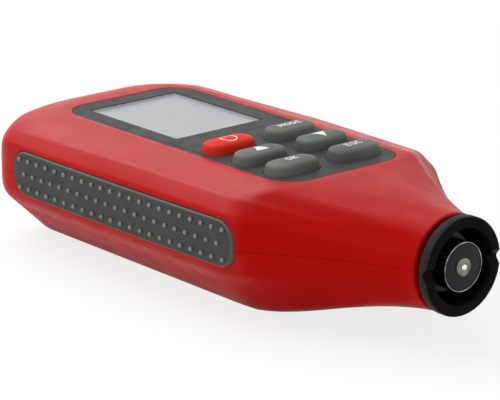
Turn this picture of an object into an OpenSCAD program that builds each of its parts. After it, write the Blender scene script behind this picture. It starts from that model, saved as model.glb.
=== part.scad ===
// Hand-held coating thickness gauge with a sprung probe in its nose. Millimetres.
// Y runs from the probe to the tail, Z up from the flat back, X to the right.
// Stations are distances along Y from the sleeve's front edge.

/* [Case] */
// length from the sleeve's front edge to the tail
total_l = 124; // [122:0.5:130]
// half width of the case at its upright sides
side_half = 30.7; // [29.5:0.1:33]
// how far the sides draw in along one long arc from the tail to the nose
waist = 1.4; // [0.6:0.1:1.6]
// height of the flat top above the back
case_h = 29.9; // [29:0.1:31.5]
// half width of the flat top
top_half = 18.8; // [18.2:0.1:20]
// half width at the shoulder crease
crease_half = 27.7; // [26.5:0.1:28.5]
// height of the shoulder crease
crease_h = 27.6; // [27:0.1:28.4]
// height where the upright side ends above
side_top = 24.1; // [23.8:0.1:25]
// height where the upright side ends below
side_low = 12; // [11:0.1:12.6]
// half width of the flat back
base_half = 17.9; // [17.4:0.1:20]
// height of the line where the two shells meet
split_h = 18.6; // [18:0.1:19.2]
// wall thickness of sides and back
wall = 2; // [1.6:0.1:2.4]
// wall thickness of the top, with the panel's recess
top_wall = 3.1; // [2.8:0.1:3.4]
// drop of the shoulder crease at the tail
tail_drop = 1; // [0:0.1:2]
// plan radius of the tail's corners
tail_r = 8.5; // [6:0.5:11]
// rounding of the tail's upper and lower edges
tail_edge = 3.6; // [2:0.2:6]
// radius with which the flat top's rim turns across the tail
rim_corner = 10; // [7:0.5:12]
// distance from the flat top's far rim to the tail
rim_end = 2.4; // [1.6:0.2:4]

/* [Nose] */
// radius of the nose's round end
nose_r = 10.4; // [10.2:0.1:10.8]
// station of the nose's end face
nose_s = 3.85; // [3.75:0.05:4.5]
// rounding of the lip at the nose's end
lip = 0.5; // [0.2:0.1:0.8]
// station where the nose starts at the middle of the top
edge_top = 33.4; // [32.6:0.1:33.8]
// station where the nose starts beside the panel
edge_rim = 39; // [37:0.5:41]
// station where the nose starts at the shoulder crease
edge_crease = 42.2; // [40:0.2:44]
// station where the nose starts at the shells' meeting line
edge_split = 36.4; // [35:0.2:37]
// station where the nose starts at the back
edge_base = 39.6; // [38:0.2:42]
// hollowing of the nose's slopes
flare = 1.4; // [1.1:0.05:1.5]

/* [Panel and display] */
// half width of the panel
panel_half = 17; // [16.6:0.1:17.4]
// station of the panel's near end
panel_s = 34.7; // [34.4:0.1:35.4]
// distance from the panel's far end to the tail
panel_end = 10.5; // [9.6:0.1:11.6]
// corner radius of the panel
panel_r = 6.5; // [5:0.5:8]
// thickness of the panel
panel_t = 1.2; // [1:0.1:1.4]
// visible width of the display
lcd_w = 24.4; // [22:0.2:25]
// station of the display's near edge
lcd_s = 77.4; // [76.8:0.2:77.8]
// distance from the display's far edge to the panel's far end
lcd_end = 4.7; // [4.4:0.1:7]
// lap of the display's light under the panel
lcd_lap = 1.2; // [0.8:0.1:1.4]
// thickness of the window
window_t = 0.7; // [0.5:0.1:0.9]
// thickness of the display glass
glass_t = 1.8; // [1.4:0.1:2]
// height of the frame between board and case
frame_h = 4; // [3.8:0.1:4.4]

/* [Keys] */
// length of a key across the case
key_l = 12.6; // [11:0.2:13]
// width of a key along the case
key_w = 6.8; // [6:0.2:7.2]
// height of a key above the panel
key_rise = 2.5; // [1.8:0.1:3]
// distance of a key's middle from the centre line
key_x = 8.7; // [8.5:0.1:8.9]
// station of the nearest row of keys
key_s = 42.9; // [42.5:0.1:43.4]
// distance between rows of keys
key_pitch = 10.4; // [10:0.1:10.6]
// how far a key goes down
key_travel = 0.8; // [0.4:0.1:0.9]
// rim of a key under the case
key_rim = 0.8; // [0.5:0.1:0.9]

/* [Grips] */
// station of the grips' near end
grip_s = 37.4; // [37:0.1:39]
// distance from the grips' far end to the tail
grip_end = 11; // [10:0.2:15]
// height of the grips
grip_h = 10.3; // [9.6:0.1:10.8]
// height of the grips' lower edge above the back
grip_z = 13.1; // [12.8:0.1:13.3]
// how far the grips stand out of the case
grip_out = 0.3; // [0.1:0.1:0.6]
// depth of the grips' recess
grip_in = 1.2; // [0.8:0.1:1.4]
// spacing of the dots along a row
dot_pitch = 3.33; // [3.2:0.01:3.4]
// spacing of the rows of dots
dot_rows = 3.25; // [3:0.05:3.4]
// diameter of a dot
dot_d = 1.1; // [0.8:0.1:1.6]

/* [Probe] */
// height of the probe's axis above the back
axis_h = 17.2; // [17:0.1:17.5]
// radius of the sleeve's ring
ring_r = 10.5; // [10.2:0.1:10.8]
// radius of the sleeve's opening
mouth_r = 8.1; // [7.8:0.1:8.3]
// radius of the sleeve's tube
tube_r = 8.6; // [8.4:0.1:8.8]
// wall of the sleeve's tube
tube_t = 1.2; // [1:0.1:1.4]
// how far the sleeve goes in
sleeve_travel = 1.2; // [0.8:0.1:1.4]
// depth of the V-groove
groove_d = 1.3; // [0.8:0.1:1.6]
// width of the V-groove
groove_w = 4; // [3:0.1:5]
// radius of the probe
probe_r = 5.25; // [5:0.05:5.5]
// station of the probe's rim
probe_s = 0.65; // [0.5:0.05:0.9]
// radius of the pole piece
pole_r = 1.95; // [1.6:0.05:2.2]
// radius of the ball at the tip
tip_r = 0.95; // [0.8:0.05:1.1]
// wire diameter of the sleeve's spring
spring_wire = 0.8; // [0.6:0.1:1]

/* [Board and batteries] */
// half width of the circuit board
board_half = 24; // [23.4:0.1:24.4]
// thickness of the circuit board
board_t = 1.6; // [1.2:0.1:1.8]
// diameter of a cell
cell_d = 10.5; // [10.2:0.1:10.6]
// length of a cell
cell_l = 44.5; // [43.5:0.1:44.8]
// distance from the battery bay's far end to the tail
bay_end = 18.7; // [18.3:0.1:19.1]
// length that a contact spring takes up
contact_l = 4; // [3.6:0.1:4.2]
// thickness of the battery door
door_t = 1.8; // [1.6:0.1:2]
// half width of the battery door
door_half = 14.5; // [14.2:0.1:14.9]
// radius of the screws that hold the shells
screw_r = 1.2; // [1:0.05:1.3]

/* [Hidden] */
$fn = 48;

red = [0.72, 0.06, 0.07];
dark_grey = [0.26, 0.28, 0.29];
key_grey = [0.36, 0.38, 0.38];
black = [0.06, 0.06, 0.07];
steel = [0.75, 0.75, 0.73];
brass = [0.8, 0.7, 0.45];
green = [0.08, 0.32, 0.16];

// clearances
fit_gap = 0.1;
run_gap = 0.05;
key_gap = 0.3;
key_end_gap = 0.5;
eps = 0.01;

// lengths that follow the case's length
panel_l = total_l - panel_s - panel_end;
lcd_l = panel_s + panel_l - lcd_end - lcd_s;
grip_l = total_l - grip_s - grip_end;

// long arc along which the sides draw in, and the depth that the grips' cutters need for it
waist_s = total_l - grip_end;
waist_l = waist_s - edge_split;
waist_r = (waist_l * waist_l + waist * waist) / (2 * waist);
waist_facets = 1440;
grip_room = grip_in + waist + 1;

// length over which the shoulder crease drops
sag_l = 49;

// fall of the shoulders, and how softly the nose runs into the case
shoulder_fall = (case_h - crease_h) / (crease_half - top_half);
edge_ease = 0.12;

// rounding of the section's corners, from the top down
rim_round = 3;
crease_round = 2;
side_round = 3;
belly_round = 6;
base_round = 5.5;

// heights
panel_sink = 0.1;
panel_top = case_h - panel_sink;
panel_base = panel_top - panel_t;
inner_top = case_h - top_wall;
board_top = inner_top - frame_h;
board_base = board_top - board_t;
window_sink = 0.1;
window_top = panel_top - window_sink;
glass_top = window_top - window_t;
glass_base = glass_top - glass_t;
key_top = panel_top + key_rise;
switch_h = 0.5;
mat_t = 0.8;
key_foot = board_top + switch_h + key_travel + fit_gap;
rim_t = 1.2;

// battery bay
cell_r = cell_d / 2;
cell_x = cell_r + 0.5;
plate_t = 0.4;
bay_half = 2 * cell_r + 1.5;
bay_l = cell_l + contact_l + 2 * plate_t;
bay_s = total_l - bay_end - bay_l;
bay_wall = 1.5;
bay_top = door_t + cell_d + 0.9;
cell_z = door_t + 0.2 + cell_r;
door_s = bay_s - 4;
door_end = bay_s + bay_l + 8;
door_screw_s = bay_s + bay_l + 4.6;
seat_t = 1.5;
door_lap = 1.5;

// fastener places and sizes
post_r = 2.6;
head_r = 2 * screw_r;
head_h = 1.6;
head_seat = 6;
bore_r = head_r + 2 * fit_gap;
foot_r = bore_r + 0.7;
foot_t = 1.5;
post_near = [base_half - 5.9, key_s - key_w / 2 - key_rim - post_r - 0.5];
post_far = [door_half + 1.5, door_end + bore_r + 0.6];
board_s = post_near.y + post_r + 0.8;
board_end = post_far.y - post_r - 0.8;
stud_r = 2.2;
stud_x = board_half - 3.6;
stud_near = [stud_x, key_s + 2 * key_pitch + key_w];
stud_far = [stud_x, lcd_s + lcd_l - lcd_end];
post_bite = 6;
stud_bite = 2.6;
board_head_h = 1.2;
board_head_r = 2;

// parts on the board
chip_h = 1.8;
chip_half = 6;
chip_l = 12;
chip_s = 62;
small_chip_h = 1.5;
small_chip_half = 3;
small_chip_l = 5;
small_chip_x = 13;
small_chip_s = 82;
lead_r = 0.9;
lead_s = board_s + 3;

// contact springs of the cells
contact_r = 3.6;
contact_tip_r = 2.2;
contact_wire = 0.7;

// probe and sleeve along the axis
ring_l = nose_s - sleeve_travel - 2 * fit_gap;
guide_end = 9.45;
collar_s = guide_end + 0.15;
collar_t = 1.2;
collar_r = tube_r + 0.8;
sleeve_end = collar_s + collar_t;
chamber_r = collar_r + 0.3;
flange_s = 17;
flange_t = 2;
flange_r = chamber_r + 0.25;
holder_r = probe_r + 1.05;
cavity_s = 21;

// moves a piece from stations to the middle of the object
module place() {
    translate([0, -total_l / 2, 0]) children();
}

// turns a piece that stands on Z so that it points along Y on the probe's axis
module on_axis(s) {
    translate([0, s, axis_h]) rotate([-90, 0, 0]) children();
}

module mirror_copy() {
    children();
    mirror([1, 0, 0]) children();
}

module at_points(points) {
    for (p = points) translate([p.x, p.y, 0]) children();
}

// flat oblong l by w with round corners, its near left corner at the origin
module round_rect(l, w, r) {
    translate([r, 0]) square([l - 2 * r, w]);
    translate([0, r]) square([l, w - 2 * r]);
    for (x = [r, l - r], y = [r, w - r]) translate([x, y]) circle(r);
}

module slab(half, s, l, r, z0, z1) {
    translate([-half, s, z0]) linear_extrude(z1 - z0) round_rect(2 * half, l, r);
}

module box(half, s, l, z0, z1) {
    translate([-half, s, z0]) cube([2 * half, l, z1 - z0]);
}

module pill(l, w, h) {
    linear_extrude(h) {
        square([l - w, w], center = true);
        for (x = [-1, 1]) translate([x * (l - w) / 2, 0]) circle(d = w);
    }
}

function unit(v) = v / norm(v);
function clamp(x) = min(1, max(0, x));
function smooth(t) = t * t * (3 - 2 * t);
function mix(a, b, t) = a + (b - a) * t;

// arc of radius r that rounds the corner b between a and c
function corner(a, b, c, r, n) =
    let (
        u = unit(a - b),
        v = unit(c - b),
        half = acos(u * v) / 2,
        mid = b + unit(u + v) * r / sin(half),
        p = b + u * r / tan(half) - mid,
        q = b + v * r / tan(half) - mid,
        from = atan2(p.y, p.x),
        turn = (atan2(q.y, q.x) - from + 540) % 360 - 180
    )
    [for (i = [0:n]) mid + r * [cos(from + turn * i / n), sin(from + turn * i / n)]];

// corners of half the case's section, from the top down, moved in by t
function section_corners(t) =
    let (
        c = [
            [0, case_h], [top_half, case_h], [crease_half, crease_h], [side_half, side_top],
            [side_half, side_low], [base_half, 0], [0, 0]
        ],
        last = len(c) - 1
    )
    [for (i = [0:last])
        let (
            e = unit(c[max(1, i)] - c[max(1, i) - 1]),
            f = unit(c[min(last, i + 1)] - c[min(last, i + 1) - 1]),
            n1 = [e.y, -e.x],
            n2 = [f.y, -f.x]
        )
        c[i] + t * (n1 + n2) / (1 + n1 * n2)];

// half outline of the case's section, from the top's middle to the back's middle
function half_outline(t) =
    let (c = section_corners(t), k = 1 - t / 8)
    concat(
        [c[0], mix(c[0], c[1], 0.32), mix(c[0], c[1], 0.62)],
        corner(c[0], c[1], c[2], rim_round * k, arc_n),
        corner(c[1], c[2], c[3], crease_round * k, arc_n),
        corner(c[2], c[3], c[4], side_round * k, arc_n),
        [[c[3].x, split_h]],
        corner(c[3], c[4], c[5], belly_round * k, arc_n),
        corner(c[4], c[5], c[6], base_round * k, arc_n),
        [mix(c[5], c[6], 0.5), c[6]]
    );

// steps in each rounded corner, and the points in the middle of each corner
arc_n = 4;
rim_k = 3 + arc_n / 2;
crease_k = rim_k + arc_n + 1;
side_k = crease_k + arc_n + 1;
split_k = side_k + arc_n / 2 + 1;
belly_k = split_k + arc_n / 2 + 1;
base_k = belly_k + arc_n + 1;
half_n = base_k + arc_n / 2 + 3;
// point on a round corner, where the end faces of a loft begin
fan_k = 16;

// station where the nose starts, against the length along the half outline
function edge_table(lens) = [
    [lens[0], edge_top], [lens[2], edge_top + 0.8], [lens[rim_k], edge_rim], [lens[crease_k], edge_crease],
    [lens[side_k], mix(edge_crease, edge_split, 0.55)], [lens[split_k], edge_split],
    [lens[belly_k], mix(edge_split, edge_base, 0.5)], [lens[base_k], edge_base]
];

function lengths(p) =
    [for (i = 0, s = 0; i < len(p); s = s + (i < len(p) - 1 ? norm(p[i + 1] - p[i]) : 0), i = i + 1) s];

function ramp(u, k) =
    u > 1 + k ? 1 :
    u > 1 - k ? 1 - pow(1 + k - u, 2) / (4 * k) :
    max(0, u);

// how far the tail's rounding of radius r draws in at station s
function draw_in(s, end, r) =
    let (d = min(r, max(0, s - end + r)))
    r - sqrt(r * r - d * d);

// how far the side's long arc draws in at station s
function draw_waist(s) =
    let (d = max(0, waist_s - s))
    waist_r - sqrt(waist_r * waist_r - d * d);

// point k of the case's skin at station s, moved in by t
function skin(k, s, t, outline, lens) =
    let (
        p = outline[k],
        a = 90 - 180 * lens[k] / lens[half_n - 1],
        n = (nose_r - t) * [cos(a), sin(a)] + [0, axis_h],
        e = lookup(lens[k], edge_table(lens)),
        u = (s - nose_s - 1) / (e - nose_s - 1),
        w = pow(ramp(u, edge_ease), flare),
        ub = clamp((s - nose_s - 1) / (e + 3.4 - nose_s)),
        wb = mix(ub, smooth(ub), 0.53),
        low = smooth(clamp((split_h - p.y) / (split_h - side_low))),
        out = smooth(clamp((p.x - top_half) / (crease_half - top_half))),
        up = smooth(clamp((p.y - split_h) / (crease_h - split_h))),
        sag = tail_drop * pow(out * up, 3) * clamp(mix(1, 0, (total_l - s) / sag_l)),
        end = total_l - t,
        x = mix(n.x, p.x - out * draw_waist(s), w) * (1 - draw_in(s, end, tail_r) / side_half),
        across = max(0, x - top_half + rim_corner),
        behind = max(0, s - total_l + rim_end + rim_corner),
        beyond = max(0, norm([across, behind]) - rim_corner),
        z = min(mix(n.y, p.y - sag, mix(w, wb, low)), case_h - t - shoulder_fall * beyond),
        edge = draw_in(s, end, tail_edge)
    )
    [x, s, z - edge * (z - axis_h) / (case_h - axis_h)];

// loop of points round one row: the whole section, its upper half or its lower half
function row_loop(ks, s, t, outline, lens, grow) =
    concat(
        [for (k = ks) grow_point(skin(k, s[k], t, outline, lens), grow)],
        [for (i = [len(ks) - 1:-1:0])
            let (p = grow_point(skin(ks[i], s[ks[i]], t, outline, lens), grow))
            if (p.x > 0.001) [-p.x, p.y, p.z]]
    );
function grow_point(p, grow) = [p.x * grow, p.y, axis_h + (p.z - axis_h) * grow];

// closed solid through loops of equal length
module loft(loops) {
    n = len(loops[0]);
    m = len(loops);
    polyhedron(
        points = [for (l = loops) each l],
        faces = concat(
            [[for (i = [0:n - 1]) (i + fan_k) % n]],
            [for (j = [0:m - 2], i = [0:n - 1])
                let (a = j * n + i, b = j * n + (i + 1) % n)
                each [[a, a + n, b], [b, a + n, b + n]]],
            [[for (i = [n - 1:-1:0]) (m - 1) * n + (i + fan_k) % n]]
        )
    );
}

// outside of the case: ks picks the points of the half outline
module case_skin(ks) {
    outline = half_outline(0);
    lens = lengths(outline);
    edges = [for (l = lens) lookup(l, edge_table(lens))];
    start = nose_s + 1;
    slope = [0, 0.15, 0.3, 0.45, 0.6, 0.75, 0.86, 0.94, 1, 1.06, 1.13];
    rows = concat(
        [for (u = slope) [for (e = edges) mix(start, e, u)]],
        [for (t = [0.1, 0.4, 0.75, 0.94]) [for (e = edges) mix(edge_crease + 8, total_l - tail_r, t)]],
        [for (a = [0, 25, 45, 60, 73, 83, 90]) [for (e = edges) total_l - tail_r * (1 - sin(a))]]
    );
    ends = [for (e = edges) nose_s];
    lips = [for (e = edges) nose_s + lip];
    loft(concat(
        [row_loop(ks, ends, 0, outline, lens, 1 - lip / nose_r)],
        [row_loop(ks, lips, 0, outline, lens, 1)],
        [for (r = rows) row_loop(ks, r, 0, outline, lens, 1)]
    ));
}

// hollow inside of the case
module case_hollow() {
    outline = [for (p = half_outline(wall)) [p.x, min(p.y, inner_top)]];
    lens = lengths(outline);
    end = total_l - wall;
    stations = concat(
        [for (t = [0, 0.3, 0.55, 0.75, 0.9, 1]) mix(cavity_s, edge_crease + 4, t)],
        [for (a = [0, 30, 60, 90]) end - tail_r * (1 - sin(a))]
    );
    ks = [for (k = [0:half_n - 1]) k];
    loft([for (s = stations) row_loop(ks, [for (k = ks) s], wall, outline, lens, 1)]);
}

// stepped bore through the nose for sleeve, spring and holder
module nose_bore() {
    on_axis(nose_s - 1) cylinder(h = guide_end - nose_s + 1 + eps, r = tube_r + run_gap);
    on_axis(guide_end) cylinder(h = cavity_s - guide_end + 1, r = chamber_r);
    on_axis(flange_s) cylinder(h = flange_t, r = flange_r + fit_gap);
}

// grip's outline on a plate along the side's arc, from depth under the side's surface to proud of it
module grip_shape(gap, depth, proud) {
    intersection() {
        translate([side_half - grip_room, grip_s - gap, grip_z - gap])
            rotate([90, 0, 90])
                linear_extrude(grip_room + proud + 1)
                    round_rect(grip_l + 2 * gap, grip_h + 2 * gap, grip_h * 0.42 + gap);
        translate([side_half - waist_r, waist_s, grip_z - 2]) difference() {
            cylinder(h = grip_h + 4, r = waist_r + proud, $fn = waist_facets);
            translate([0, 0, -1]) cylinder(h = grip_h + 6, r = waist_r - depth, $fn = waist_facets);
        }
    }
}

module key_places() {
    for (x = [-key_x, key_x], i = [0:2]) translate([x, key_s + i * key_pitch, 0]) children();
}

module front_case() {
    ks = [for (k = [0:split_k]) k];
    color(red) place() difference() {
        union() {
            difference() {
                case_skin(ks);
                case_hollow();
            }
            mirror_copy() at_points([post_near, post_far])
                translate([0, 0, split_h]) cylinder(h = panel_base - split_h - 0.8, r = post_r);
            mirror_copy() at_points([stud_near, stud_far])
                translate([0, 0, board_top]) cylinder(h = panel_base - board_top - 0.8, r = stud_r);
        }
        nose_bore();
        slab(panel_half + fit_gap, panel_s - fit_gap, panel_l + 2 * fit_gap, panel_r + fit_gap,
            panel_base, case_h + 2);
        box(lcd_w / 2 + lcd_lap + fit_gap, lcd_s - lcd_lap - fit_gap, lcd_l + 2 * (lcd_lap + fit_gap),
            inner_top - 1, case_h);
        key_places() translate([0, 0, inner_top - 1])
            pill(key_l + 2 * key_end_gap, key_w + 2 * key_gap, top_wall + 2);
        mirror_copy() grip_shape(fit_gap, grip_in, 2);
        mirror_copy() at_points([post_near, post_far])
            translate([0, 0, split_h - 1]) cylinder(h = post_bite + 2, r = screw_r + run_gap);
        mirror_copy() at_points([stud_near, stud_far])
            translate([0, 0, board_top - 1]) cylinder(h = stud_bite + 1.4, r = screw_r - 0.2 + run_gap);
    }
}

// collar at the foot of a screw post, round the bore for the screw's head
module post_foot(base) {
    translate([0, 0, base]) cylinder(h = head_seat + foot_t - base, r = foot_r);
}

module rear_case() {
    ks = [for (k = [split_k:half_n - 1]) k];
    color(red) place() difference() {
        union() {
            difference() {
                case_skin(ks);
                case_hollow();
            }
            box(bay_half + bay_wall, bay_s - bay_wall, bay_l + 2 * bay_wall, wall / 2, bay_top + bay_wall);
            slab(door_half + door_lap, door_s - 2 * door_lap, door_end - door_s + 3 * door_lap,
                 2 * door_lap, wall / 2, door_t + seat_t);
            translate([0, door_screw_s, wall / 2]) cylinder(h = bay_top - wall, r = post_r);
            mirror_copy() at_points([post_near, post_far])
                translate([0, 0, head_seat]) cylinder(h = split_h - head_seat, r = post_r);
            mirror_copy() at_points([post_near]) post_foot(1.2 * wall);
            mirror_copy() at_points([post_far]) post_foot(0.8 * wall);
        }
        nose_bore();
        box(bay_half, bay_s, bay_l, door_t - eps, bay_top);
        slab(door_half + fit_gap, door_s - fit_gap, door_end - door_s + 2 * fit_gap, 2 + fit_gap, -1, door_t);
        mirror_copy() translate([8, 0, 0])
            box(2.5 + fit_gap, door_s - 2, 4, door_t - eps, door_t + 1 + fit_gap);
        translate([0, door_screw_s, 0]) cylinder(h = 9, r = screw_r - 0.2 + run_gap);
        mirror_copy() grip_shape(fit_gap, grip_in, 2);
        mirror_copy() at_points([post_near, post_far]) {
            translate([0, 0, -1]) cylinder(h = split_h + 2, r = screw_r + fit_gap + run_gap);
            translate([0, 0, -1]) cylinder(h = head_seat + 1, r = bore_r);
        }
    }
}

// dots of one grip: outer rows full, middle row staggered and one shorter
module grip_dots() {
    n = floor((grip_l - 5) / dot_pitch);
    for (j = [-1:1], i = [0:j == 0 ? n - 1 : n]) {
        y = grip_s + grip_l / 2 + (i - (j == 0 ? n - 1 : n) / 2) * dot_pitch;
        translate([side_half + grip_out - 0.2 - draw_waist(y), y, grip_z + grip_h / 2 + j * dot_rows])
            rotate([0, 90, 0]) cylinder(h = 0.5, d1 = dot_d, d2 = dot_d * 0.7, $fn = 16);
    }
}

module grip() {
    color(dark_grey) place() {
        grip_shape(0, grip_in, grip_out);
        grip_dots();
    }
}

module left_grip() {
    mirror([1, 0, 0]) grip();
}

module right_grip() {
    grip();
}

module face_panel() {
    color(dark_grey) place() difference() {
        slab(panel_half, panel_s, panel_l, panel_r, panel_base, panel_top);
        box(lcd_w / 2, lcd_s, lcd_l, panel_base - 1, panel_top + 1);
        key_places() translate([0, 0, panel_base - 1])
            pill(key_l + 2 * key_end_gap, key_w + 2 * key_gap, panel_t + 2);
    }
}

module lcd_window() {
    color([0.75, 0.8, 0.78, 0.4]) place()
        box(lcd_w / 2 - fit_gap, lcd_s + fit_gap, lcd_l - 2 * fit_gap, glass_top, window_top);
}

module lcd_glass() {
    color([0.66, 0.7, 0.66]) place()
        box(lcd_w / 2 - fit_gap, lcd_s + fit_gap, lcd_l - 2 * fit_gap, glass_base, glass_top);
}

module lcd_frame() {
    gap = lcd_lap + fit_gap;
    rim = gap + 1.2;
    color(black) place() difference() {
        box(lcd_w / 2 + rim, lcd_s - rim, lcd_l + 2 * rim, board_top, inner_top);
        box(lcd_w / 2 + gap, lcd_s - gap, lcd_l + 2 * gap, board_top - 1, inner_top + 1);
    }
}

connector_l = 2.2;

module lcd_backlight() {
    color([0.92, 0.92, 0.9]) place()
        box(lcd_w / 2 + lcd_lap, lcd_s - lcd_lap, lcd_l + 2 * lcd_lap - connector_l - fit_gap,
            board_top, glass_base);
}

module lcd_connector() {
    color([0.8, 0.45, 0.5]) place()
        box(lcd_w / 2, lcd_s + lcd_l + lcd_lap - connector_l, connector_l, board_top, glass_base);
}

// soft key: oblong body with a rounded top, a rim under the case and a foot over its switch
module key(x, row, tint) {
    r = key_w / 2;
    edge = 1.4;
    color(tint) place() translate([x, key_s + row * key_pitch, 0]) {
        hull()
            for (i = [-1, 1]) translate([i * (key_l - key_w) / 2, 0, 0]) {
                translate([0, 0, inner_top - rim_t])
                    cylinder(h = key_top - edge - inner_top + rim_t, r = r, $fn = 32);
                for (a = [30, 60, 90])
                    translate([0, 0, key_top - edge])
                        cylinder(h = edge * sin(a) * 0.9, r = r - edge * (1 - cos(a)), $fn = 32);
                translate([0, 0, key_top - edge]) cylinder(h = edge, r = r * 0.3, $fn = 32);
            }
        translate([0, 0, inner_top - fit_gap - rim_t]) pill(key_l + 2 * key_rim, key_w + 2 * key_rim, rim_t);
        translate([0, 0, key_foot]) cylinder(h = inner_top - key_foot, r = 2);
    }
}

module power_key() {
    key(-key_x, 2, [0.78, 0.12, 0.1]);
}

module up_key() {
    key(-key_x, 1, key_grey);
}

module ok_key() {
    key(-key_x, 0, key_grey);
}

module mode_key() {
    key(key_x, 2, key_grey);
}

module down_key() {
    key(key_x, 1, key_grey);
}

module esc_key() {
    key(key_x, 0, key_grey);
}

module key_switches() {
    color(steel) place() key_places() translate([0, 0, board_top]) cylinder(h = switch_h, r = 2.2);
}

module keypad_mat() {
    color([0.7, 0.7, 0.68]) place() difference() {
        slab(key_x + key_l / 2, key_s - 4.4, 2 * key_pitch + 8.8, 2, board_top, board_top + mat_t);
        key_places() translate([0, 0, board_top - 1]) cylinder(h = mat_t + 2, r = 2.6);
    }
}

module circuit_board() {
    color(green) place() difference() {
        slab(board_half, board_s, board_end - board_s, 6, board_base, board_top);
        mirror_copy() at_points([stud_near, stud_far])
            translate([0, 0, board_base - 1]) cylinder(h = board_t + 2, r = screw_r);
    }
}

module board_chips() {
    color(black) place() {
        box(chip_half, chip_s, chip_l, board_base - chip_h, board_base);
        for (x = [-small_chip_x, small_chip_x])
            translate([x, small_chip_s, 0])
                box(small_chip_half, 0, small_chip_l, board_base - small_chip_h, board_base);
    }
}

module board_screws() {
    color(steel) place() mirror_copy() at_points([stud_near, stud_far]) {
        translate([0, 0, board_base - board_head_h]) cylinder(h = board_head_h, r = board_head_r);
        translate([0, 0, board_base - eps]) cylinder(h = board_t + stud_bite, r = screw_r - 0.2);
    }
}

// ring that guards the probe, with a tube and collar that slide in the nose
module probe_sleeve() {
    throat_r = tube_r - tube_t;
    color(black) place() difference() {
        on_axis(0) rotate_extrude()
            polygon([
                [mouth_r + 0.4, 0], [ring_r - 0.55, 0], [ring_r - 0.15, 0.15], [ring_r, 0.55],
                [ring_r, ring_l - 0.5], [ring_r - 0.4, ring_l], [tube_r, ring_l], [tube_r, collar_s],
                [collar_r, collar_s], [collar_r, sleeve_end], [throat_r, sleeve_end], [throat_r, 3.4],
                [mouth_r, 0.5]
            ]);
        translate([-2 * ring_r, 0, axis_h])
            rotate([90, 0, 90])
                linear_extrude(4 * ring_r)
                    polygon([
                        [-1, groove_w / 2 + 0.4], [0, groove_w / 2], [groove_d, groove_w * 0.12],
                        [groove_d, -groove_w * 0.12], [0, -groove_w / 2], [-1, -groove_w / 2 - 0.4]
                    ]);
    }
}

// wire or lead of radius r along a path, with ref across the path
module wire(path, r, ref, sides) {
    last = len(path) - 1;
    loft([for (i = [0:last])
        let (
            t = unit(path[min(last, i + 1)] - path[max(0, i - 1)]),
            u = unit(cross(ref, t)),
            v = cross(t, u)
        )
        [for (j = [0:sides - 1]) path[i] + r * (u * cos(360 * j / sides) - v * sin(360 * j / sides))]]);
}

// coil along Y from s0 to s1, closed flat at both ends
module coil(r0, r1, s0, s1, turns, d) {
    n = 16 * turns;
    wire(
        [for (i = [0:n])
            let (a = 22.5 * i, f = i / n, r = mix(r0, r1, f))
            [r * cos(a), mix(s0 + d / 2, s1 - d / 2, smooth(f) * 0.4 + f * 0.6), r * sin(a)]],
        d / 2, [0, 1, 0], 6
    );
}

module sleeve_spring() {
    r = tube_r - tube_t / 2;
    color(steel) place() translate([0, 0, axis_h]) coil(r, r, sleeve_end, flange_s, 4, spring_wire);
}

module probe_holder() {
    color([0.85, 0.84, 0.8]) place() difference() {
        union() {
            on_axis(5) cylinder(h = flange_s - 5 + eps, r = holder_r);
            on_axis(flange_s) cylinder(h = flange_t, r = flange_r);
        }
        on_axis(4) cylinder(h = flange_s - 4, r = probe_r + run_gap);
        on_axis(flange_s - 1) cylinder(h = flange_t + 2, r = 1.2);
    }
}

rim_w = 0.3;
insert_s = probe_s + 0.2;
pot_end = 12;
pole_s = probe_s + 0.05;
tip_s = pole_s - 0.6 + tip_r;

module probe_body() {
    color(steel) place() difference() {
        on_axis(probe_s) cylinder(h = flange_s - probe_s, r = probe_r);
        on_axis(probe_s - 1) cylinder(h = pot_end - probe_s + 1, r = probe_r - rim_w);
        on_axis(pot_end - 1) cylinder(h = flange_s, r = 1.2);
    }
}

module probe_insert() {
    color(black) place() difference() {
        on_axis(insert_s) cylinder(h = pot_end - insert_s, r = probe_r - rim_w);
        on_axis(insert_s - 1) cylinder(h = pot_end - insert_s + 2, r = pole_r);
    }
}

module probe_pole() {
    color(steel) place() difference() {
        on_axis(pole_s) cylinder(h = pot_end - pole_s, r = pole_r);
        on_axis(tip_s) sphere(tip_r);
    }
}

module probe_tip() {
    color([0.85, 0.85, 0.85]) place() on_axis(tip_s) sphere(tip_r);
}

module probe_lead() {
    rise = board_base - lead_r - axis_h;
    back = flange_s + flange_t;
    color(black) place() wire(
        concat(
            [[0, pot_end, axis_h]],
            [for (t = [0:0.125:1]) [0, mix(back, lead_s, t), axis_h + rise * smooth(clamp(1.3 * t))]]
        ),
        lead_r, [1, 0, 0], 10
    );
}

module battery_door() {
    color(red) place() difference() {
        union() {
            slab(door_half, door_s, door_end - door_s, 2, 0, door_t);
            mirror_copy() translate([8, 0, 0]) box(2.5, door_s - 1.8, 3.6, door_t - eps, door_t + 1);
            box(bay_half - 1, bay_s + 6, 1.2, door_t - eps, door_t + 0.2);
        }
        translate([0, door_screw_s, -1]) cylinder(h = door_t + 2, r = screw_r);
        translate([0, door_screw_s, -1]) cylinder(h = 1 + 1.1, r = head_r + fit_gap);
        for (i = [0:4]) translate([0, door_s + 6 + 2.2 * i, -1]) box(6, 0, 1, 0, 1.4);
    }
}

module door_screw() {
    color(steel) place() translate([0, door_screw_s, 0]) {
        translate([0, 0, 0.2]) cylinder(h = 0.9, r = head_r);
        translate([0, 0, 1]) cylinder(h = 7, r = screw_r - 0.2);
    }
}

module battery_left() {
    start = [-cell_x, bay_s + plate_t + contact_l, cell_z];
    color([0.2, 0.22, 0.26]) place() translate(start) rotate([-90, 0, 0]) {
        cylinder(h = cell_l - 1.2, r = cell_r);
        translate([0, 0, cell_l - 2]) cylinder(h = 2, r = 1.9);
    }
}

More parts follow.
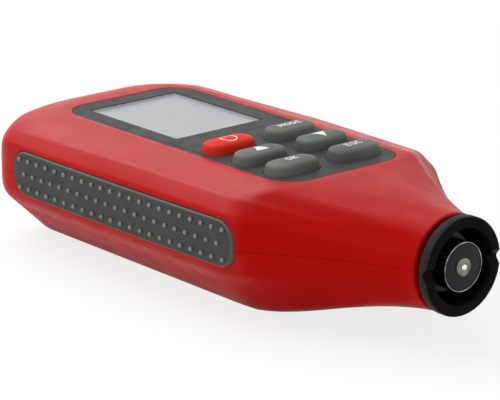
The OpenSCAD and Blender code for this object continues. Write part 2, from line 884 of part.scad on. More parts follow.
module battery_right() {
    color([0.2, 0.22, 0.26]) place() translate([cell_x, bay_s + plate_t, cell_z]) rotate([-90, 0, 0]) {
        translate([0, 0, 1.2]) cylinder(h = cell_l - 1.2, r = cell_r);
        cylinder(h = 2, r = 1.9);
    }
}

module battery_springs() {
    near = bay_s + plate_t;
    far = bay_s + bay_l - plate_t;
    color(brass) place() {
        translate([-cell_x, 0, cell_z]) coil(contact_r, contact_tip_r, near, near + contact_l, 3, contact_wire);
        translate([cell_x, 0, cell_z]) coil(contact_tip_r, contact_r, far - contact_l, far, 3, contact_wire);
    }
}

module battery_plates() {
    half = cell_r - 0.6;
    far = bay_s + bay_l - plate_t;
    color(brass) place() {
        for (x = [-cell_x, cell_x]) translate([x, 0, 0])
            box(half, bay_s, plate_t, cell_z - half, cell_z + half);
        box(cell_x + half, far, plate_t, cell_z - half, cell_z + half);
    }
}

module case_screws() {
    color(steel) place() mirror_copy() at_points([post_near, post_far]) {
        translate([0, 0, head_seat - head_h]) cylinder(h = head_h, r = head_r);
        translate([0, 0, head_seat - eps]) cylinder(h = split_h + post_bite - head_seat, r = screw_r);
    }
}

front_case();
rear_case();
left_grip();
right_grip();
face_panel();
lcd_window();
lcd_glass();
lcd_frame();
lcd_backlight();
lcd_connector();
power_key();
mode_key();
up_key();
down_key();
ok_key();
esc_key();
key_switches();
keypad_mat();
circuit_board();
board_chips();
board_screws();
probe_sleeve();
sleeve_spring();
probe_holder();
probe_body();
probe_insert();
probe_pole();
probe_tip();
probe_lead();
battery_door();
door_screw();
battery_left();
battery_right();
battery_springs();
battery_plates();
case_screws();
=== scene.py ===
import bmesh
import bpy
import numpy as np
from mathutils import Matrix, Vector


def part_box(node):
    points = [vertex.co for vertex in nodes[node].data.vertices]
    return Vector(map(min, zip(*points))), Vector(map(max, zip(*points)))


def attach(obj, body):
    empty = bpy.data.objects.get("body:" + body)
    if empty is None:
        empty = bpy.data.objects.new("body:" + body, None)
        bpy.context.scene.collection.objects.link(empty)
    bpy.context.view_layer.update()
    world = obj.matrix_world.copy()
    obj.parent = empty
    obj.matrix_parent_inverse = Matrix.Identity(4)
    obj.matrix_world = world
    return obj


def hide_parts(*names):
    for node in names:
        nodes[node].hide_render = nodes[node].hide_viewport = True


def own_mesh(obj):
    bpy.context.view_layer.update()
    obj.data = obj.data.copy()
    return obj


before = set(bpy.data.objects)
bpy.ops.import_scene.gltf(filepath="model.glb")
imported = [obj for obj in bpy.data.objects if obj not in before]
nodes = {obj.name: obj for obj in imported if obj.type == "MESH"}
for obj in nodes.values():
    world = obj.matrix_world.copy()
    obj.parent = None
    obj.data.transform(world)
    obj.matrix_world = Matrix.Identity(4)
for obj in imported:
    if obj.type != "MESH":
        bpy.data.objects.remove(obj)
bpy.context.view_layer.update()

mm = 0.001  # metres in a millimetre
tiny = 1e-9  # keeps divisions off zero
scene = bpy.context.scene
scene.view_settings.view_transform = "Standard"
print("frame loaded:", len(nodes), "nodes")

# camera: millimetres of the part's frame, degrees, and pixels of the photograph's frame
photoView = {
    "place": (-357.57, -421.82, 187.68),
    "azimuth": -39.951,
    "elevation": 17.162,
    "roll": -0.262,
    "focalPixels": 2647.3,
    "imageWidth": 500.0,
    "sensor": 36.0,
    "clipStart": 10.0,
}


def facing(place, back, roll=0.0):
    # a frame at a place: Z points back, X is level, and both X and Y are then rolled about Z
    back = back / np.linalg.norm(back)
    right = np.cross((0, 0, 1), back)
    right /= np.linalg.norm(right)
    up = np.cross(back, right)
    made = np.eye(4)
    made[:3, 0] = np.cos(roll) * right + np.sin(roll) * up
    made[:3, 1] = np.cos(roll) * up - np.sin(roll) * right
    made[:3, 2] = back
    made[:3, 3] = place
    return Matrix(made.tolist())


def makeCamera():
    # the way back from azimuth and elevation; the lens is the sensor times focal length over image width
    azimuth, elevation, roll = np.radians([photoView[k] for k in ("azimuth", "elevation", "roll")])
    level = np.cos(elevation)
    back = np.array([np.sin(azimuth) * level, -np.cos(azimuth) * level, np.sin(elevation)])
    data = bpy.data.cameras.new("photoCamera")
    data.sensor_width = photoView["sensor"]
    data.lens = photoView["focalPixels"] / photoView["imageWidth"] * photoView["sensor"]
    data.clip_start = photoView["clipStart"] * mm
    camera = bpy.data.objects.new("photoCamera", data)
    camera.matrix_world = facing(np.array(photoView["place"]) * mm, back, roll)
    scene.collection.objects.link(camera)
    scene.camera = camera


makeCamera()


def clamp(x):
    # x held between 0 and 1
    return np.clip(x, 0.0, 1.0)


def smooth(t):
    # a share with level ends: three times its square less twice its cube
    return t * t * (3 - 2 * t)


def mix(a, b, t):
    # from a to b by the share t
    return a + (b - a) * t


def quarterAngles(steps):
    # even steps from 0 to a right angle
    return np.linspace(0, np.pi / 2, steps + 1)


def circlePoints(count):
    # even points of a circle of radius 1
    a = np.linspace(0, 2 * np.pi, count, endpoint=False)
    return np.stack([np.cos(a), np.sin(a)], 1)


def gridFaces(rows, cols, wrap=False):
    # quads of a grid stored row by row; wrap joins the last column to the first
    i = np.arange(rows - 1)[:, None]
    j = np.arange(cols if wrap else cols - 1)[None, :]
    a = i * cols + j
    b = i * cols + (j + 1) % cols
    return np.stack([a, b, b + cols, a + cols], -1).reshape(-1, 4).tolist()


def joined(parts):
    # several (points, faces) as one
    points, faces, base = [], [], 0
    for p, f in parts:
        points.append(np.asarray(p).reshape(-1, 3))
        faces += [[k + base for k in face] for face in f]
        base += len(points[-1])
    return np.concatenate(points), faces


# metres within which points merge and slivers go, degrees of a sharp edge, least corner radius in millimetres
meshing = {"merge": 1e-7, "sliver": 1e-8, "sharp": 35.0, "leastRadius": 0.01}


def makeObject(name, points, faces):
    # closed mesh from points in millimetres, doubles merged and faces turned outwards
    mesh = bpy.data.meshes.new(name)
    mesh.from_pydata((np.asarray(points).reshape(-1, 3) * mm).tolist(), [], faces)
    work = bmesh.new()
    work.from_mesh(mesh)
    bmesh.ops.remove_doubles(work, verts=work.verts, dist=meshing["merge"])
    bmesh.ops.dissolve_degenerate(work, edges=work.edges, dist=meshing["sliver"])
    bmesh.ops.recalc_face_normals(work, faces=work.faces)
    work.to_mesh(mesh)
    work.free()
    made = bpy.data.objects.new(name, mesh)
    scene.collection.objects.link(made)
    return made


def settle(piece, sharp=meshing["sharp"]):
    # modifiers into the mesh, then smooth shading with sharp edges past an angle
    graph = bpy.context.evaluated_depsgraph_get()
    mesh = bpy.data.meshes.new_from_object(piece.evaluated_get(graph))
    piece.modifiers.clear()
    piece.data = mesh
    mesh.shade_smooth()
    mesh.set_sharp_from_angle(angle=np.radians(sharp))
    return piece


def carve(piece, cutters, sharp=meshing["sharp"]):
    # the piece less each cutter in turn
    for cutter in cutters:
        step = piece.modifiers.new("cut", "BOOLEAN")
        step.operation = "DIFFERENCE"
        step.solver = "MANIFOLD"
        step.object = cutter
    settle(piece, sharp)
    for cutter in cutters:
        bpy.data.objects.remove(cutter)
    return piece


def fit(piece, body, slotName, *replaced):
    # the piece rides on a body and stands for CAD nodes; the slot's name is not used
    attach(piece, body)
    if replaced:
        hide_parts(*replaced)
    return piece


def oblong(length, width, radius, corner=10, straight=0):
    # outline about the origin, counter-clockwise, with round corners and extra points on its long sides
    radius = max(radius, meshing["leastRadius"])
    a = quarterAngles(corner)
    arcs = [np.stack([np.cos(a + q * np.pi / 2), np.sin(a + q * np.pi / 2)], 1) for q in range(4)]
    signs = np.array([[1, 1], [-1, 1], [-1, -1], [1, -1]], float)
    half = np.array([length / 2 - radius, width / 2 - radius])
    corners = [signs[q] * half + radius * arcs[q] for q in range(4)]
    t = np.linspace(0, 1, straight + 2)[1:-1, None]
    over, under = (mix(corners[k][-1], corners[k + 1][0], t) for k in (0, 2))
    return np.concatenate([corners[0], over, corners[1], corners[2], under, corners[3]])


def rings(length, width, radius, insets, straight=0):
    # one oblong drawn in all round by each inset
    return [oblong(length - 2 * i, width - 2 * i, radius - i, straight=straight) for i in insets]


def stack(outlines, heights):
    # flat outlines of equal length, one above another, with flat ends
    rows, cols = len(outlines), len(outlines[0])
    points = np.concatenate([np.column_stack([o, np.full(cols, h)]) for o, h in zip(outlines, heights)])
    ends = [list(range(cols))[::-1], list(range((rows - 1) * cols, rows * cols))]
    return points, gridFaces(rows, cols, wrap=True) + ends


def turned(profile, sides=96):
    # a profile of (radius, station) carried round the probe's axis
    profile = np.asarray(profile, float)
    a = np.linspace(0, 2 * np.pi, sides, endpoint=False)
    x = profile[:, :1] * np.cos(a)
    z = profile[:, :1] * np.sin(a) + shell["axisHeight"]
    y = np.repeat(profile[:, 1:], sides, 1) - shell["length"] / 2
    return np.stack([x, y, z], -1).reshape(-1, 3), gridFaces(len(profile), sides, wrap=True)


# case shells: sizes in millimetres, stations from the sleeve's front edge
shell = {
    "length": 124.0,
    "sideHalf": 30.7,
    "waist": 1.4,
    "waistStation": 113.0,
    "height": 29.9,
    "topHalf": 18.8,
    "creaseHalf": 27.7,
    "creaseHeight": 27.6,
    "sideTop": 24.1,
    "sideLow": 12.0,
    "baseHalf": 17.9,
    "splitHeight": 18.6,
    "partHeight": 17.4,
    "partingRound": 0.15,
    "wall": 2.0,
    "topWall": 3.1,
    "roundings": (3.0, 2.0, 3.0, 6.0, 5.5),
    "insetRound": 8.0,
    "tailDrop": 1.2,
    "sagLength": 49.0,
    "tailRadius": 8.6,
    "tailSoft": 2.0,
    "softLength": 16.0,
    "softFade": 2.0,
    "tailEdge": 1.2,
    "rimEnd": 118.8,
    "rimCorner": 11.0,
    "rimEase": 0.05,
    "rimSoft": 2.5,
    "noseRadius": 10.4,
    "noseStation": 3.85,
    "noseStraight": 1.0,
    "lip": 0.5,
    "axisHeight": 17.2,
    "flare": 1.28,
    "lowLag": 3.4,
    "lowEase": 0.53,
    "edgeEase": 0.06,
    "edgeEaseLow": 0.24,
    "edgeTop": 33.4,
    "edgeStep": 0.8,
    "edgeRim": 35.2,
    "edgeCrease": 40.9,
    "edgeSplit": 37.4,
    "edgeBase": 39.6,
    "edgeSoft": 1.6,
    "topShare": 0.62,
    "cornerShare": 0.67,
    "sideShare": 0.55,
}

# how finely the shells are divided: steps and shares of a stretch, with stations and bell in millimetres
shellGrid = {
    "arcSteps": (10, 8, 10, 12, 10),
    "flatSteps": (14, 9, 5, 9, 12),
    "nearSplit": (0.2, 0.4, 0.6, 0.75, 0.88, 0.94, 0.965, 0.985),
    "lipRows": 6,
    "noseShare": 0.8,
    "noseRows": 23,
    "edgeShare": 1.16,
    "edgeRows": 31,
    "midStation": 60.0,
    "midRows": 8,
    "bodyRows": 13,
    "tailRows": 25,
    "capRows": 11,
    "capEnd": (0.97, 0.99, 1.0),
    "bellStep": 0.2,
    "bellReach": 6.0,
    "bellMargin": 8.0,
    "leastNormal": 1e-6,
}


def sectionCorners(inset):
    # corners of half the section from the top down, each moved in along both its sides
    b = shell
    c = np.array([
        (0, b["height"]), (b["topHalf"], b["height"]), (b["creaseHalf"], b["creaseHeight"]),
        (b["sideHalf"], b["sideTop"]), (b["sideHalf"], b["sideLow"]), (b["baseHalf"], 0), (0, 0),
    ], float)
    d = np.diff(c, axis=0)
    d /= np.linalg.norm(d, axis=1)[:, None]
    before, after = d[[0, 0, 1, 2, 3, 4, 5]], d[[0, 1, 2, 3, 4, 5, 5]]
    n1 = np.stack([before[:, 1], -before[:, 0]], 1)
    n2 = np.stack([after[:, 1], -after[:, 0]], 1)
    return c + inset * (n1 + n2) / (1 + (n1 * n2).sum(1))[:, None]


def cornerArc(a, b, c, radius, n):
    # arc that rounds the corner b between a and c
    u, v = (a - b) / np.linalg.norm(a - b), (c - b) / np.linalg.norm(c - b)
    half = np.arccos(u @ v) / 2
    middle = b + (u + v) / np.linalg.norm(u + v) * radius / np.sin(half)
    p, q = b + u * radius / np.tan(half) - middle, b + v * radius / np.tan(half) - middle
    start = np.arctan2(p[1], p[0])
    turn = (np.arctan2(q[1], q[0]) - start + 3 * np.pi) % (2 * np.pi) - np.pi
    t = start + turn * np.linspace(0, 1, n + 1)
    return middle + radius * np.stack([np.cos(t), np.sin(t)], 1)


def between(p, q, shares):
    # points from p to q at the given shares
    return mix(p, q, np.asarray(shares)[:, None])


def softened(length, knots, stations):
    # stations between knots along the half outline, mirrored past both ends and averaged by a bell curve
    step, reach, margin = (shellGrid[k] for k in ("bellStep", "bellReach", "bellMargin"))
    fine = np.arange(-margin, length[-1] + margin, step)
    mirrored = np.abs(fine)
    mirrored = np.where(mirrored > length[-1], 2 * length[-1] - mirrored, mirrored)
    bell = np.exp(-0.5 * (np.arange(-reach, reach + step / 2, step) / shell["edgeSoft"]) ** 2)
    soft = np.convolve(np.interp(mirrored, knots, stations), bell / bell.sum(), "same")
    return np.interp(length, fine, soft)


def halfOutline(inset):
    # flats and corner arcs in turn from the top's middle to the back's middle, with the length along them,
    # the station of the front edge at each point and the index of the parting line
    b = shell
    c = sectionCorners(inset)
    arcs = [
        cornerArc(c[i], c[i + 1], c[i + 2], r * (1 - inset / b["insetRound"]), n)
        for i, (r, n) in enumerate(zip(b["roundings"], shellGrid["arcSteps"]))
    ]
    split = np.array([c[3][0], b["partHeight"]])
    near = np.array(shellGrid["nearSplit"])
    top, shoulder, slope, under, base = (np.linspace(0, 1, n + 1)[1:-1] for n in shellGrid["flatSteps"])
    pieces = [
        c[:1],
        between(c[0], arcs[0][0], top), arcs[0],
        between(arcs[0][-1], arcs[1][0], shoulder), arcs[1],
        between(arcs[1][-1], arcs[2][0], slope), arcs[2],
        between(arcs[2][-1], split, near), split[None],
        between(split, arcs[3][0], 1 - near[::-1]), arcs[3],
        between(arcs[3][-1], arcs[4][0], under), arcs[4],
        between(arcs[4][-1], c[6], base), c[6:],
    ]
    starts = np.cumsum([0] + [len(p) for p in pieces])
    outline = np.concatenate(pieces)
    length = np.concatenate([[0], np.cumsum(np.linalg.norm(np.diff(outline, axis=0), axis=1))])
    splitIndex = int(starts[8])

    def at(piece, share):
        # the length at a share of one piece
        return length[int(starts[piece] + round(share * (len(pieces[piece]) - 1)))]

    late = b["cornerShare"]
    knots = [
        0, b["topShare"] * c[1][0], at(2, late), at(4, 0.5),
        at(6, 0.5), length[splitIndex], at(10, late), at(12, late),
    ]
    stations = [
        b["edgeTop"], b["edgeTop"] + b["edgeStep"], b["edgeRim"], b["edgeCrease"],
        mix(b["edgeCrease"], b["edgeSplit"], b["sideShare"]), b["edgeSplit"],
        mix(b["edgeSplit"], b["edgeBase"], 0.5), b["edgeBase"],
    ]
    return outline, length, softened(length, knots, stations), splitIndex


def drawIn(station, end, radius):
    # how far a quarter circle that ends at the tail draws in
    d = np.clip(station - end + radius, 0, radius)
    return radius - np.sqrt(radius * radius - d * d)


def drawWaist(stations):
    # how far the sides draw in along one long arc, which is as deep as the waist at the front edge
    b = shell
    along = b["waistStation"] - b["edgeSplit"]
    radius = (along**2 + b["waist"] ** 2) / (2 * b["waist"])
    return radius - np.sqrt(radius**2 - np.maximum(b["waistStation"] - stations, 0) ** 2)


def tailHeight(x, z, stations, inset):
    # the shoulder's slope goes on round the tail: height falls with the distance outside the rim's corner
    b = shell
    r = b["rimCorner"]
    across = np.maximum(x - b["topHalf"] + r, 0)
    behind = np.maximum(stations - b["rimEnd"] + r, 0)
    reach = np.hypot(across, behind)
    ease = b["rimEase"] + b["rimSoft"] * behind / np.maximum(reach, tiny)
    beyond = np.where(reach - r > ease, reach - r, np.maximum(reach - r + ease, 0) ** 2 / (4 * ease))
    slope = (b["height"] - b["creaseHeight"]) / (b["creaseHalf"] - b["topHalf"])
    z = np.minimum(z, b["height"] - inset - slope * beyond)
    edge = drawIn(stations, b["length"] - inset, b["tailEdge"])
    return z - edge * (z - b["axisHeight"]) / (b["height"] - b["axisHeight"])


def skinPoints(stations, outline, length, edges, inset):
    # the nose's circle goes over into the case's section by a power of the way to the front edge
    b = shell
    angle = np.pi / 2 - np.pi * length / length[-1]
    noseX = (b["noseRadius"] - inset) * np.cos(angle)
    noseZ = (b["noseRadius"] - inset) * np.sin(angle) + b["axisHeight"]
    px, pz = outline[:, 0], outline[:, 1]
    low = smooth(clamp((b["splitHeight"] - pz) / (b["splitHeight"] - b["sideLow"])))
    start, k = b["noseStation"] + b["noseStraight"], b["edgeEase"] + b["edgeEaseLow"] * low
    u = (stations - start) / (edges - start)
    ramp = np.where(u > 1 + k, 1, np.where(u > 1 - k, 1 - (1 + k - u) ** 2 / (4 * k), np.maximum(u, 0)))
    w = ramp ** b["flare"]
    below = clamp((stations - start) / (edges + b["lowLag"] - b["noseStation"]))
    below = mix(below, smooth(below), b["lowEase"])
    out = smooth(clamp((px - b["topHalf"]) / (b["creaseHalf"] - b["topHalf"])))
    up = smooth(clamp((pz - b["splitHeight"]) / (b["creaseHeight"] - b["splitHeight"])))
    sag = b["tailDrop"] * clamp(1 - (b["length"] - stations) / b["sagLength"]) * (out * up) ** 3
    x = mix(noseX, px - out * drawWaist(stations), w)
    z = mix(noseZ, pz - sag, mix(w, below, low))
    end = b["length"] - inset
    x = x * (1 - drawIn(stations, end, b["tailRadius"]) / b["sideHalf"])
    z = tailHeight(x, z, stations, inset)
    # near the tail the crease is softened: each point moves to a bell-weighted mean along the section
    near = smooth(clamp(1 - (end - stations) / b["softLength"]))
    near = near * out * clamp((pz - b["splitHeight"]) / b["softFade"])
    bell = np.exp(-0.5 * ((length[:, None] - length) / b["tailSoft"]) ** 2) * np.gradient(length)
    bell /= bell.sum(1, keepdims=True)
    x, z = mix(x, x @ bell.T, near), mix(z, z @ bell.T, near)
    return np.stack([x, stations + 0 * x, z], -1)


def roundSeam(points, away):
    # the edge along the parting line goes in along the skin's normal by a quarter circle
    r = shell["partingRound"]
    normal = np.cross(np.gradient(points, axis=0), np.gradient(points, axis=1))
    size = np.linalg.norm(normal, axis=-1, keepdims=True)
    inward = np.where(size > shellGrid["leastNormal"], normal / np.maximum(size, tiny), [0, -1, 0])
    middle = np.array([0, shell["length"] / 2, shell["axisHeight"]])
    inward *= np.where(((middle - points) * inward).sum(-1, keepdims=True) < 0, -1, 1)
    d = np.clip(r - away, 0, r)
    return points + inward * (r - np.sqrt(r * r - d * d))[..., None]


def shellStations(edges, inset):
    # rows of stations: the nose's lip, the nose to the front edge, the body and the tail's quarter circle
    b, g = shell, shellGrid
    end = b["length"] - inset
    flat = np.ones(len(edges))
    lip = (b["noseStation"] + b["lip"] * (1 - np.cos(quarterAngles(g["lipRows"])[:-1, None]))) * flat
    u = np.concatenate([
        np.linspace(0, g["noseShare"], g["noseRows"] + 1)[:-1],
        np.linspace(g["noseShare"], g["edgeShare"], g["edgeRows"] + 1),
    ])
    nose = mix(b["noseStation"] + b["noseStraight"], edges, u[:, None])
    onward = mix(nose[-1], g["midStation"], np.linspace(0, 1, g["midRows"] + 1)[1:, None])
    body = np.linspace(g["midStation"], end - b["tailRadius"], g["bodyRows"] + 1)[1:, None] * flat
    tail = (end - b["tailRadius"] * (1 - np.sin(quarterAngles(g["tailRows"])[1:, None]))) * flat
    return np.concatenate([lip, nose, onward, body, tail])


def shellSheet(upper, inset):
    # one half of the skin as a grid, from the nose's lip to the tail and over its flat end to the seam
    b, g = shell, shellGrid
    outline, length, edges, split = halfOutline(inset)
    if inset:
        outline = np.minimum(outline, [np.inf, b["height"] - b["topWall"]])
    keep = slice(0, split + 1) if upper else slice(split, None)
    points = skinPoints(shellStations(edges, inset), outline, length, edges, inset)[:, keep]
    if not inset:
        # the lip's rows shrink towards the axis by a quarter circle
        a = quarterAngles(g["lipRows"])[:-1, None]
        grow = 1 - b["lip"] * (1 - np.sin(a)) / b["noseRadius"]
        points[: len(a), :, 0] *= grow
        points[: len(a), :, 2] = b["axisHeight"] + (points[: len(a), :, 2] - b["axisHeight"]) * grow
    # flat end face, drawn in to the middle of the parting line
    t = np.append(np.linspace(0, 1, g["capRows"] + 1)[1:-1], g["capEnd"])[:, None, None]
    seam = points[-1, -1 if upper else 0, 2]
    cap = mix(points[-1:], np.array([0, b["length"] - inset, seam]), t)
    away = np.abs(length[keep] - length[split]) * np.ones((len(points), 1))
    away = np.concatenate([away, np.abs(cap[..., 2] - seam)])
    points = np.concatenate([points, cap])
    if not inset:
        points = roundSeam(points, away)
    if not upper:
        points = points[:, ::-1]
    left = points[:, ::-1] * [-1, 1, 1]
    full = np.concatenate([left, points[:, 1:]], 1)
    full[..., 1] -= b["length"] / 2
    return full


def slabOf(top, bottom):
    # two grids of points, one over the other, closed round their edges
    rows, cols = top.shape[:2]
    count = rows * cols
    grid = np.arange(count).reshape(rows, cols)
    loop = np.concatenate([grid[0], grid[1:, -1], grid[-1, -2::-1], grid[-2:0:-1, 0]])
    after = np.roll(loop, -1)
    faces = gridFaces(rows, cols)
    rim = np.stack([loop, after, after + count, loop + count], 1).tolist()
    under = [[k + count for k in face[::-1]] for face in faces]
    return np.concatenate([top.reshape(-1, 3), bottom.reshape(-1, 3)]), faces + under + rim


def shellSolid(name, upper):
    # outer and inner sheets joined round their edges
    outer, inner = shellSheet(upper, 0), shellSheet(upper, shell["wall"])
    return makeObject(name, *slabOf(outer, inner))


# recesses and holes in the shells, in millimetres
recess = {
    "gap": 0.1,
    "lip": 0.3,
    "lipSteps": 5,
    "panelRadius": 6.5,
    "panelOver": 2.0,
    "openings": (24.0, 29.2),
    "displayLap": 1.4,
    "displayCorner": (0.3, 3),
    "keyGap": 0.3,
    "keyEndGap": 0.5,
    "gripRadius": 4.33,
    "gripDepth": 1.2,
    "gripOut": 0.3,
    "gripFlush": 0.05,
    "gripOver": 3.0,
    "boreRadius": 8.65,
    "boreLead": 1.0,
    "guideEnd": 9.45,
    "chamberRadius": 9.7,
    "chamberEnd": 23.0,
}
keySize = {"length": 13.3, "width": 7.1}
gripSize = {"length": 75.2, "height": 10.3, "straight": 24}


def millimetres(node):
    # a CAD node's box
    low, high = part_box(node)
    return np.array(low) / mm, np.array(high) / mm


panelLow, panelHigh = millimetres("face_panel")
windowLow, windowHigh = millimetres("lcd_window")
gripLow, gripHigh = millimetres("right_grip")
doorLow, doorHigh = millimetres("battery_door")
panelMiddle = (panelLow + panelHigh) / 2
windowMiddle = (windowLow + windowHigh) / 2
gripMiddle = np.array([0, gripHigh[1] - gripSize["length"] / 2, (gripLow[2] + gripHigh[2]) / 2])
keyNames = ("power_key", "mode_key", "up_key", "down_key", "ok_key", "esc_key")
keyPlace = {k: sum(millimetres(k))[:2] / 2 for k in keyNames}


def moved(points, x, y):
    # points shifted level
    return np.asarray(points) + [x, y, 0]


def upright(points):
    # a shape built on X and Y with its height on Z, set against the right-hand side: Y, Z and then X
    return np.asarray(points)[:, [2, 0, 1]]


def bent(points):
    # points on the side, moved in with its long arc
    return points - drawWaist(points[:, 1:2] + shell["length"] / 2) * [1, 0, 0]


def flaredCutter(length, width, radius, low, surface, top, straight=0):
    # straight sides that open out by a quarter circle at the surface
    lip, a = recess["lip"], quarterAngles(recess["lipSteps"])
    heights = [low, *(surface - lip + lip * np.sin(a)), top]
    grows = np.array([0, *(lip * (1 - np.cos(a))), lip])
    return stack(rings(length, width, radius, -grows, straight), heights)


def openingCutter(name, length, width, radius, place, corner=10):
    # a straight hole through the top wall
    points, faces = stack([oblong(length, width, radius, corner)] * 2, recess["openings"])
    return makeObject(name, moved(points, *place), faces)


def gripCutters():
    # an oblong recess in each side, bent with it
    side, g = shell["sideHalf"], recess["gap"]
    points, faces = flaredCutter(
        gripSize["length"] + 2 * g, gripSize["height"] + 2 * g, recess["gripRadius"] + g,
        side - recess["gripDepth"], side - recess["gripFlush"], side + recess["gripOver"],
        gripSize["straight"],
    )
    points = bent(upright(points) + gripMiddle)
    sides = ((1, "rightGripCut"), (-1, "leftGripCut"))
    return [makeObject(name, points * [sign, 1, 1], faces) for sign, name in sides]


def boreCutter():
    # the sleeve's bore and the wider chamber behind it, turned about the probe's axis
    r, start = recess, shell["noseStation"] - recess["boreLead"]
    profile = [
        (0, start), (r["boreRadius"], start), (r["boreRadius"], r["guideEnd"]),
        (r["chamberRadius"], r["guideEnd"]), (r["chamberRadius"], r["chamberEnd"]), (0, r["chamberEnd"]),
    ]
    return makeObject("boreCut", *turned(profile))


def makeFrontShell():
    # the upper skin less the panel's recess, the holes for display and keys, the grips' recesses and the bore
    piece = shellSolid("frontShell", True)
    r, top = recess, shell["height"]
    width, length = (panelHigh - panelLow)[:2] + 2 * r["gap"]
    points, faces = flaredCutter(
        width, length, r["panelRadius"] + r["gap"], panelLow[2], top, top + r["panelOver"]
    )
    cutters = [makeObject("panelCut", moved(points, *panelMiddle[:2]), faces)]
    width, length = (windowHigh - windowLow)[:2] + 2 * r["displayLap"]
    radius, corner = r["displayCorner"]
    cutters.append(openingCutter("windowCut", width, length, radius, windowMiddle[:2], corner))
    length, width = keySize["length"] + 2 * r["keyEndGap"], keySize["width"] + 2 * r["keyGap"]
    radius = width / 2 - meshing["leastRadius"]
    cutters += [openingCutter(key + "Cut", length, width, radius, keyPlace[key]) for key in keyNames]
    carve(piece, cutters + gripCutters() + [boreCutter()])
    return fit(piece, "gauge", "red_plastic", "front_case")


# openings in the back, in millimetres; posts as distance from the middle and station
backSide = {
    "doorGap": 0.1,
    "doorRadius": 2.0,
    "doorLap": 1.8,
    "doorCut": (-1.0, 4.0),
    "lipSteps": 4,
    "posts": ((12.0, 35.6), (16.0, 116.5)),
    "boreRadius": 2.6,
    "boreFlare": 0.25,
    "boreHeights": (-1.0, 0.1, 0.35, 12.0),
    "boreSides": 40,
}


def makeRearShell():
    # the lower skin less the door's opening, flared by a quarter circle, the screw holes, grips and bore
    piece = shellSolid("rearShell", False)
    b, lip = backSide, recess["lip"]
    near, far = doorLow[1] + b["doorLap"], doorHigh[1]
    width, length = doorHigh[0] - doorLow[0] + 2 * b["doorGap"], far - near + 2 * b["doorGap"]
    a = quarterAngles(b["lipSteps"])
    grows = np.array([lip, *(lip * (1 - np.sin(a))), 0])
    heights = [b["doorCut"][0], *(lip * (1 - np.cos(a))), b["doorCut"][1]]
    points, faces = stack(rings(width, length, b["doorRadius"], -grows), heights)
    cutters = [makeObject("doorCut", moved(points, 0, (near + far) / 2), faces)]
    wide, narrow = b["boreRadius"] + b["boreFlare"], b["boreRadius"]
    circle = circlePoints(b["boreSides"])
    hole, faces = stack([circle * r for r in (wide, wide, narrow, narrow)], b["boreHeights"])
    for x, station in b["posts"]:
        for sign in (-1, 1):
            points = moved(hole, sign * x, station - shell["length"] / 2)
            cutters.append(makeObject("screwCut", points, faces))
    carve(piece, cutters + gripCutters() + [boreCutter()])
    return fit(piece, "gauge", "red_plastic", "rear_case")


frontShell = makeFrontShell()
rearShell = makeRearShell()
print("shells:", len(frontShell.data.polygons), len(rearShell.data.polygons), "faces")

# soft keys: insets and heights of the visible pillow, in millimetres
keyShape = {
    "rise": 2.5,
    "draft": 0.4,
    "wallTop": 1.1,
    "round": (1.25, 1.15),
    "roundSteps": 8,
    "crown": 0.25,
    "crownSteps": 7,
    "crownEnd": 0.02,
    "skirt": 0.3,
    "flange": 0.45,
    "flangeHeights": (25.5, 26.7),
    "foot": (2.0, 24.2),
    "footLap": 0.3,
    "footSides": 32,
    "cornerRadius": 3.3,
    "sharp": 50.0,
}


def keyHeight(fromMiddle):
    # crown of the key's top: a shallow parabola across the key
    reach = keySize["width"] / 2 - keyShape["draft"] - keyShape["round"][0]
    return panelHigh[2] + keyShape["rise"] - keyShape["crown"] * clamp(fromMiddle / reach) ** 2


def makeKey(key):
    # oblong rings drawn in and up: flange, drafted wall, quarter-ellipse shoulder, crown; and a round foot
    k = keyShape
    length, width = keySize["length"], keySize["width"]
    a = quarterAngles(k["roundSteps"])[1:]
    panelTop = panelHigh[2]
    wallTop = panelTop + k["wallTop"]
    shoulderIn = k["draft"] + k["round"][0] * (1 - np.cos(a))
    shoulderUp = wallTop + k["round"][1] * np.sin(a)
    topIn = np.linspace(shoulderIn[-1], width / 2 - k["crownEnd"], k["crownSteps"] + 1)[1:]
    topUp = keyHeight(width / 2 - topIn)
    low, high = k["flangeHeights"]
    insets = np.concatenate([[-k["flange"], -k["flange"], 0, 0, k["draft"]], shoulderIn, topIn])
    heights = np.concatenate([[low, high, high, panelTop - k["skirt"], wallTop], shoulderUp, topUp])
    pillow = stack(rings(length, width, k["cornerRadius"], insets), heights)
    radius, bottom = k["foot"]
    foot = stack([radius * circlePoints(k["footSides"])] * 2, [bottom, low + k["footLap"]])
    points, faces = joined([pillow, foot])
    piece = makeObject(key.split("_")[0] + "Key", moved(points, *keyPlace[key]), faces)
    settle(piece, k["sharp"])
    return fit(piece, key, "red_rubber" if key == "power_key" else "key_rubber", key)


# printed marks, in millimetres: word heights, triangle's width and height, power sign's radius
marks = {
    "words": {"ok_key": ("OK", 1.7), "esc_key": ("ESC", 1.95), "mode_key": ("MODE", 1.75)},
    "letterGap": 0.1,
    "triangle": (3.5, 3.2),
    "triangleMiddle": 0.42,
    "triangleTaper": 0.98,
    "powerRadius": 1.8,
    "powerDrop": -0.1,
    "powerArc": (118, 422),
    "powerLine": (0.3, 1.05),
    "stroke": 0.3,
    "proud": 0.02,
    "sink": 0.08,
    "offset": 0.2,
    "sharp": 30.0,
}


def arcPath(centre, radii, start, end, n=24):
    # points of an ellipse's arc between two angles in degrees
    t = np.radians(np.linspace(start, end, n))
    return np.asarray(centre) + np.stack([np.cos(t), np.sin(t)], 1) * radii


def line(*points):
    # straight path with points between its corners
    p = np.asarray(points, float)
    t = np.linspace(0, 1, 6)[:-1, None]
    return np.concatenate([mix(p[:-1, None], p[1:, None], t).reshape(-1, 2), p[-1:]])


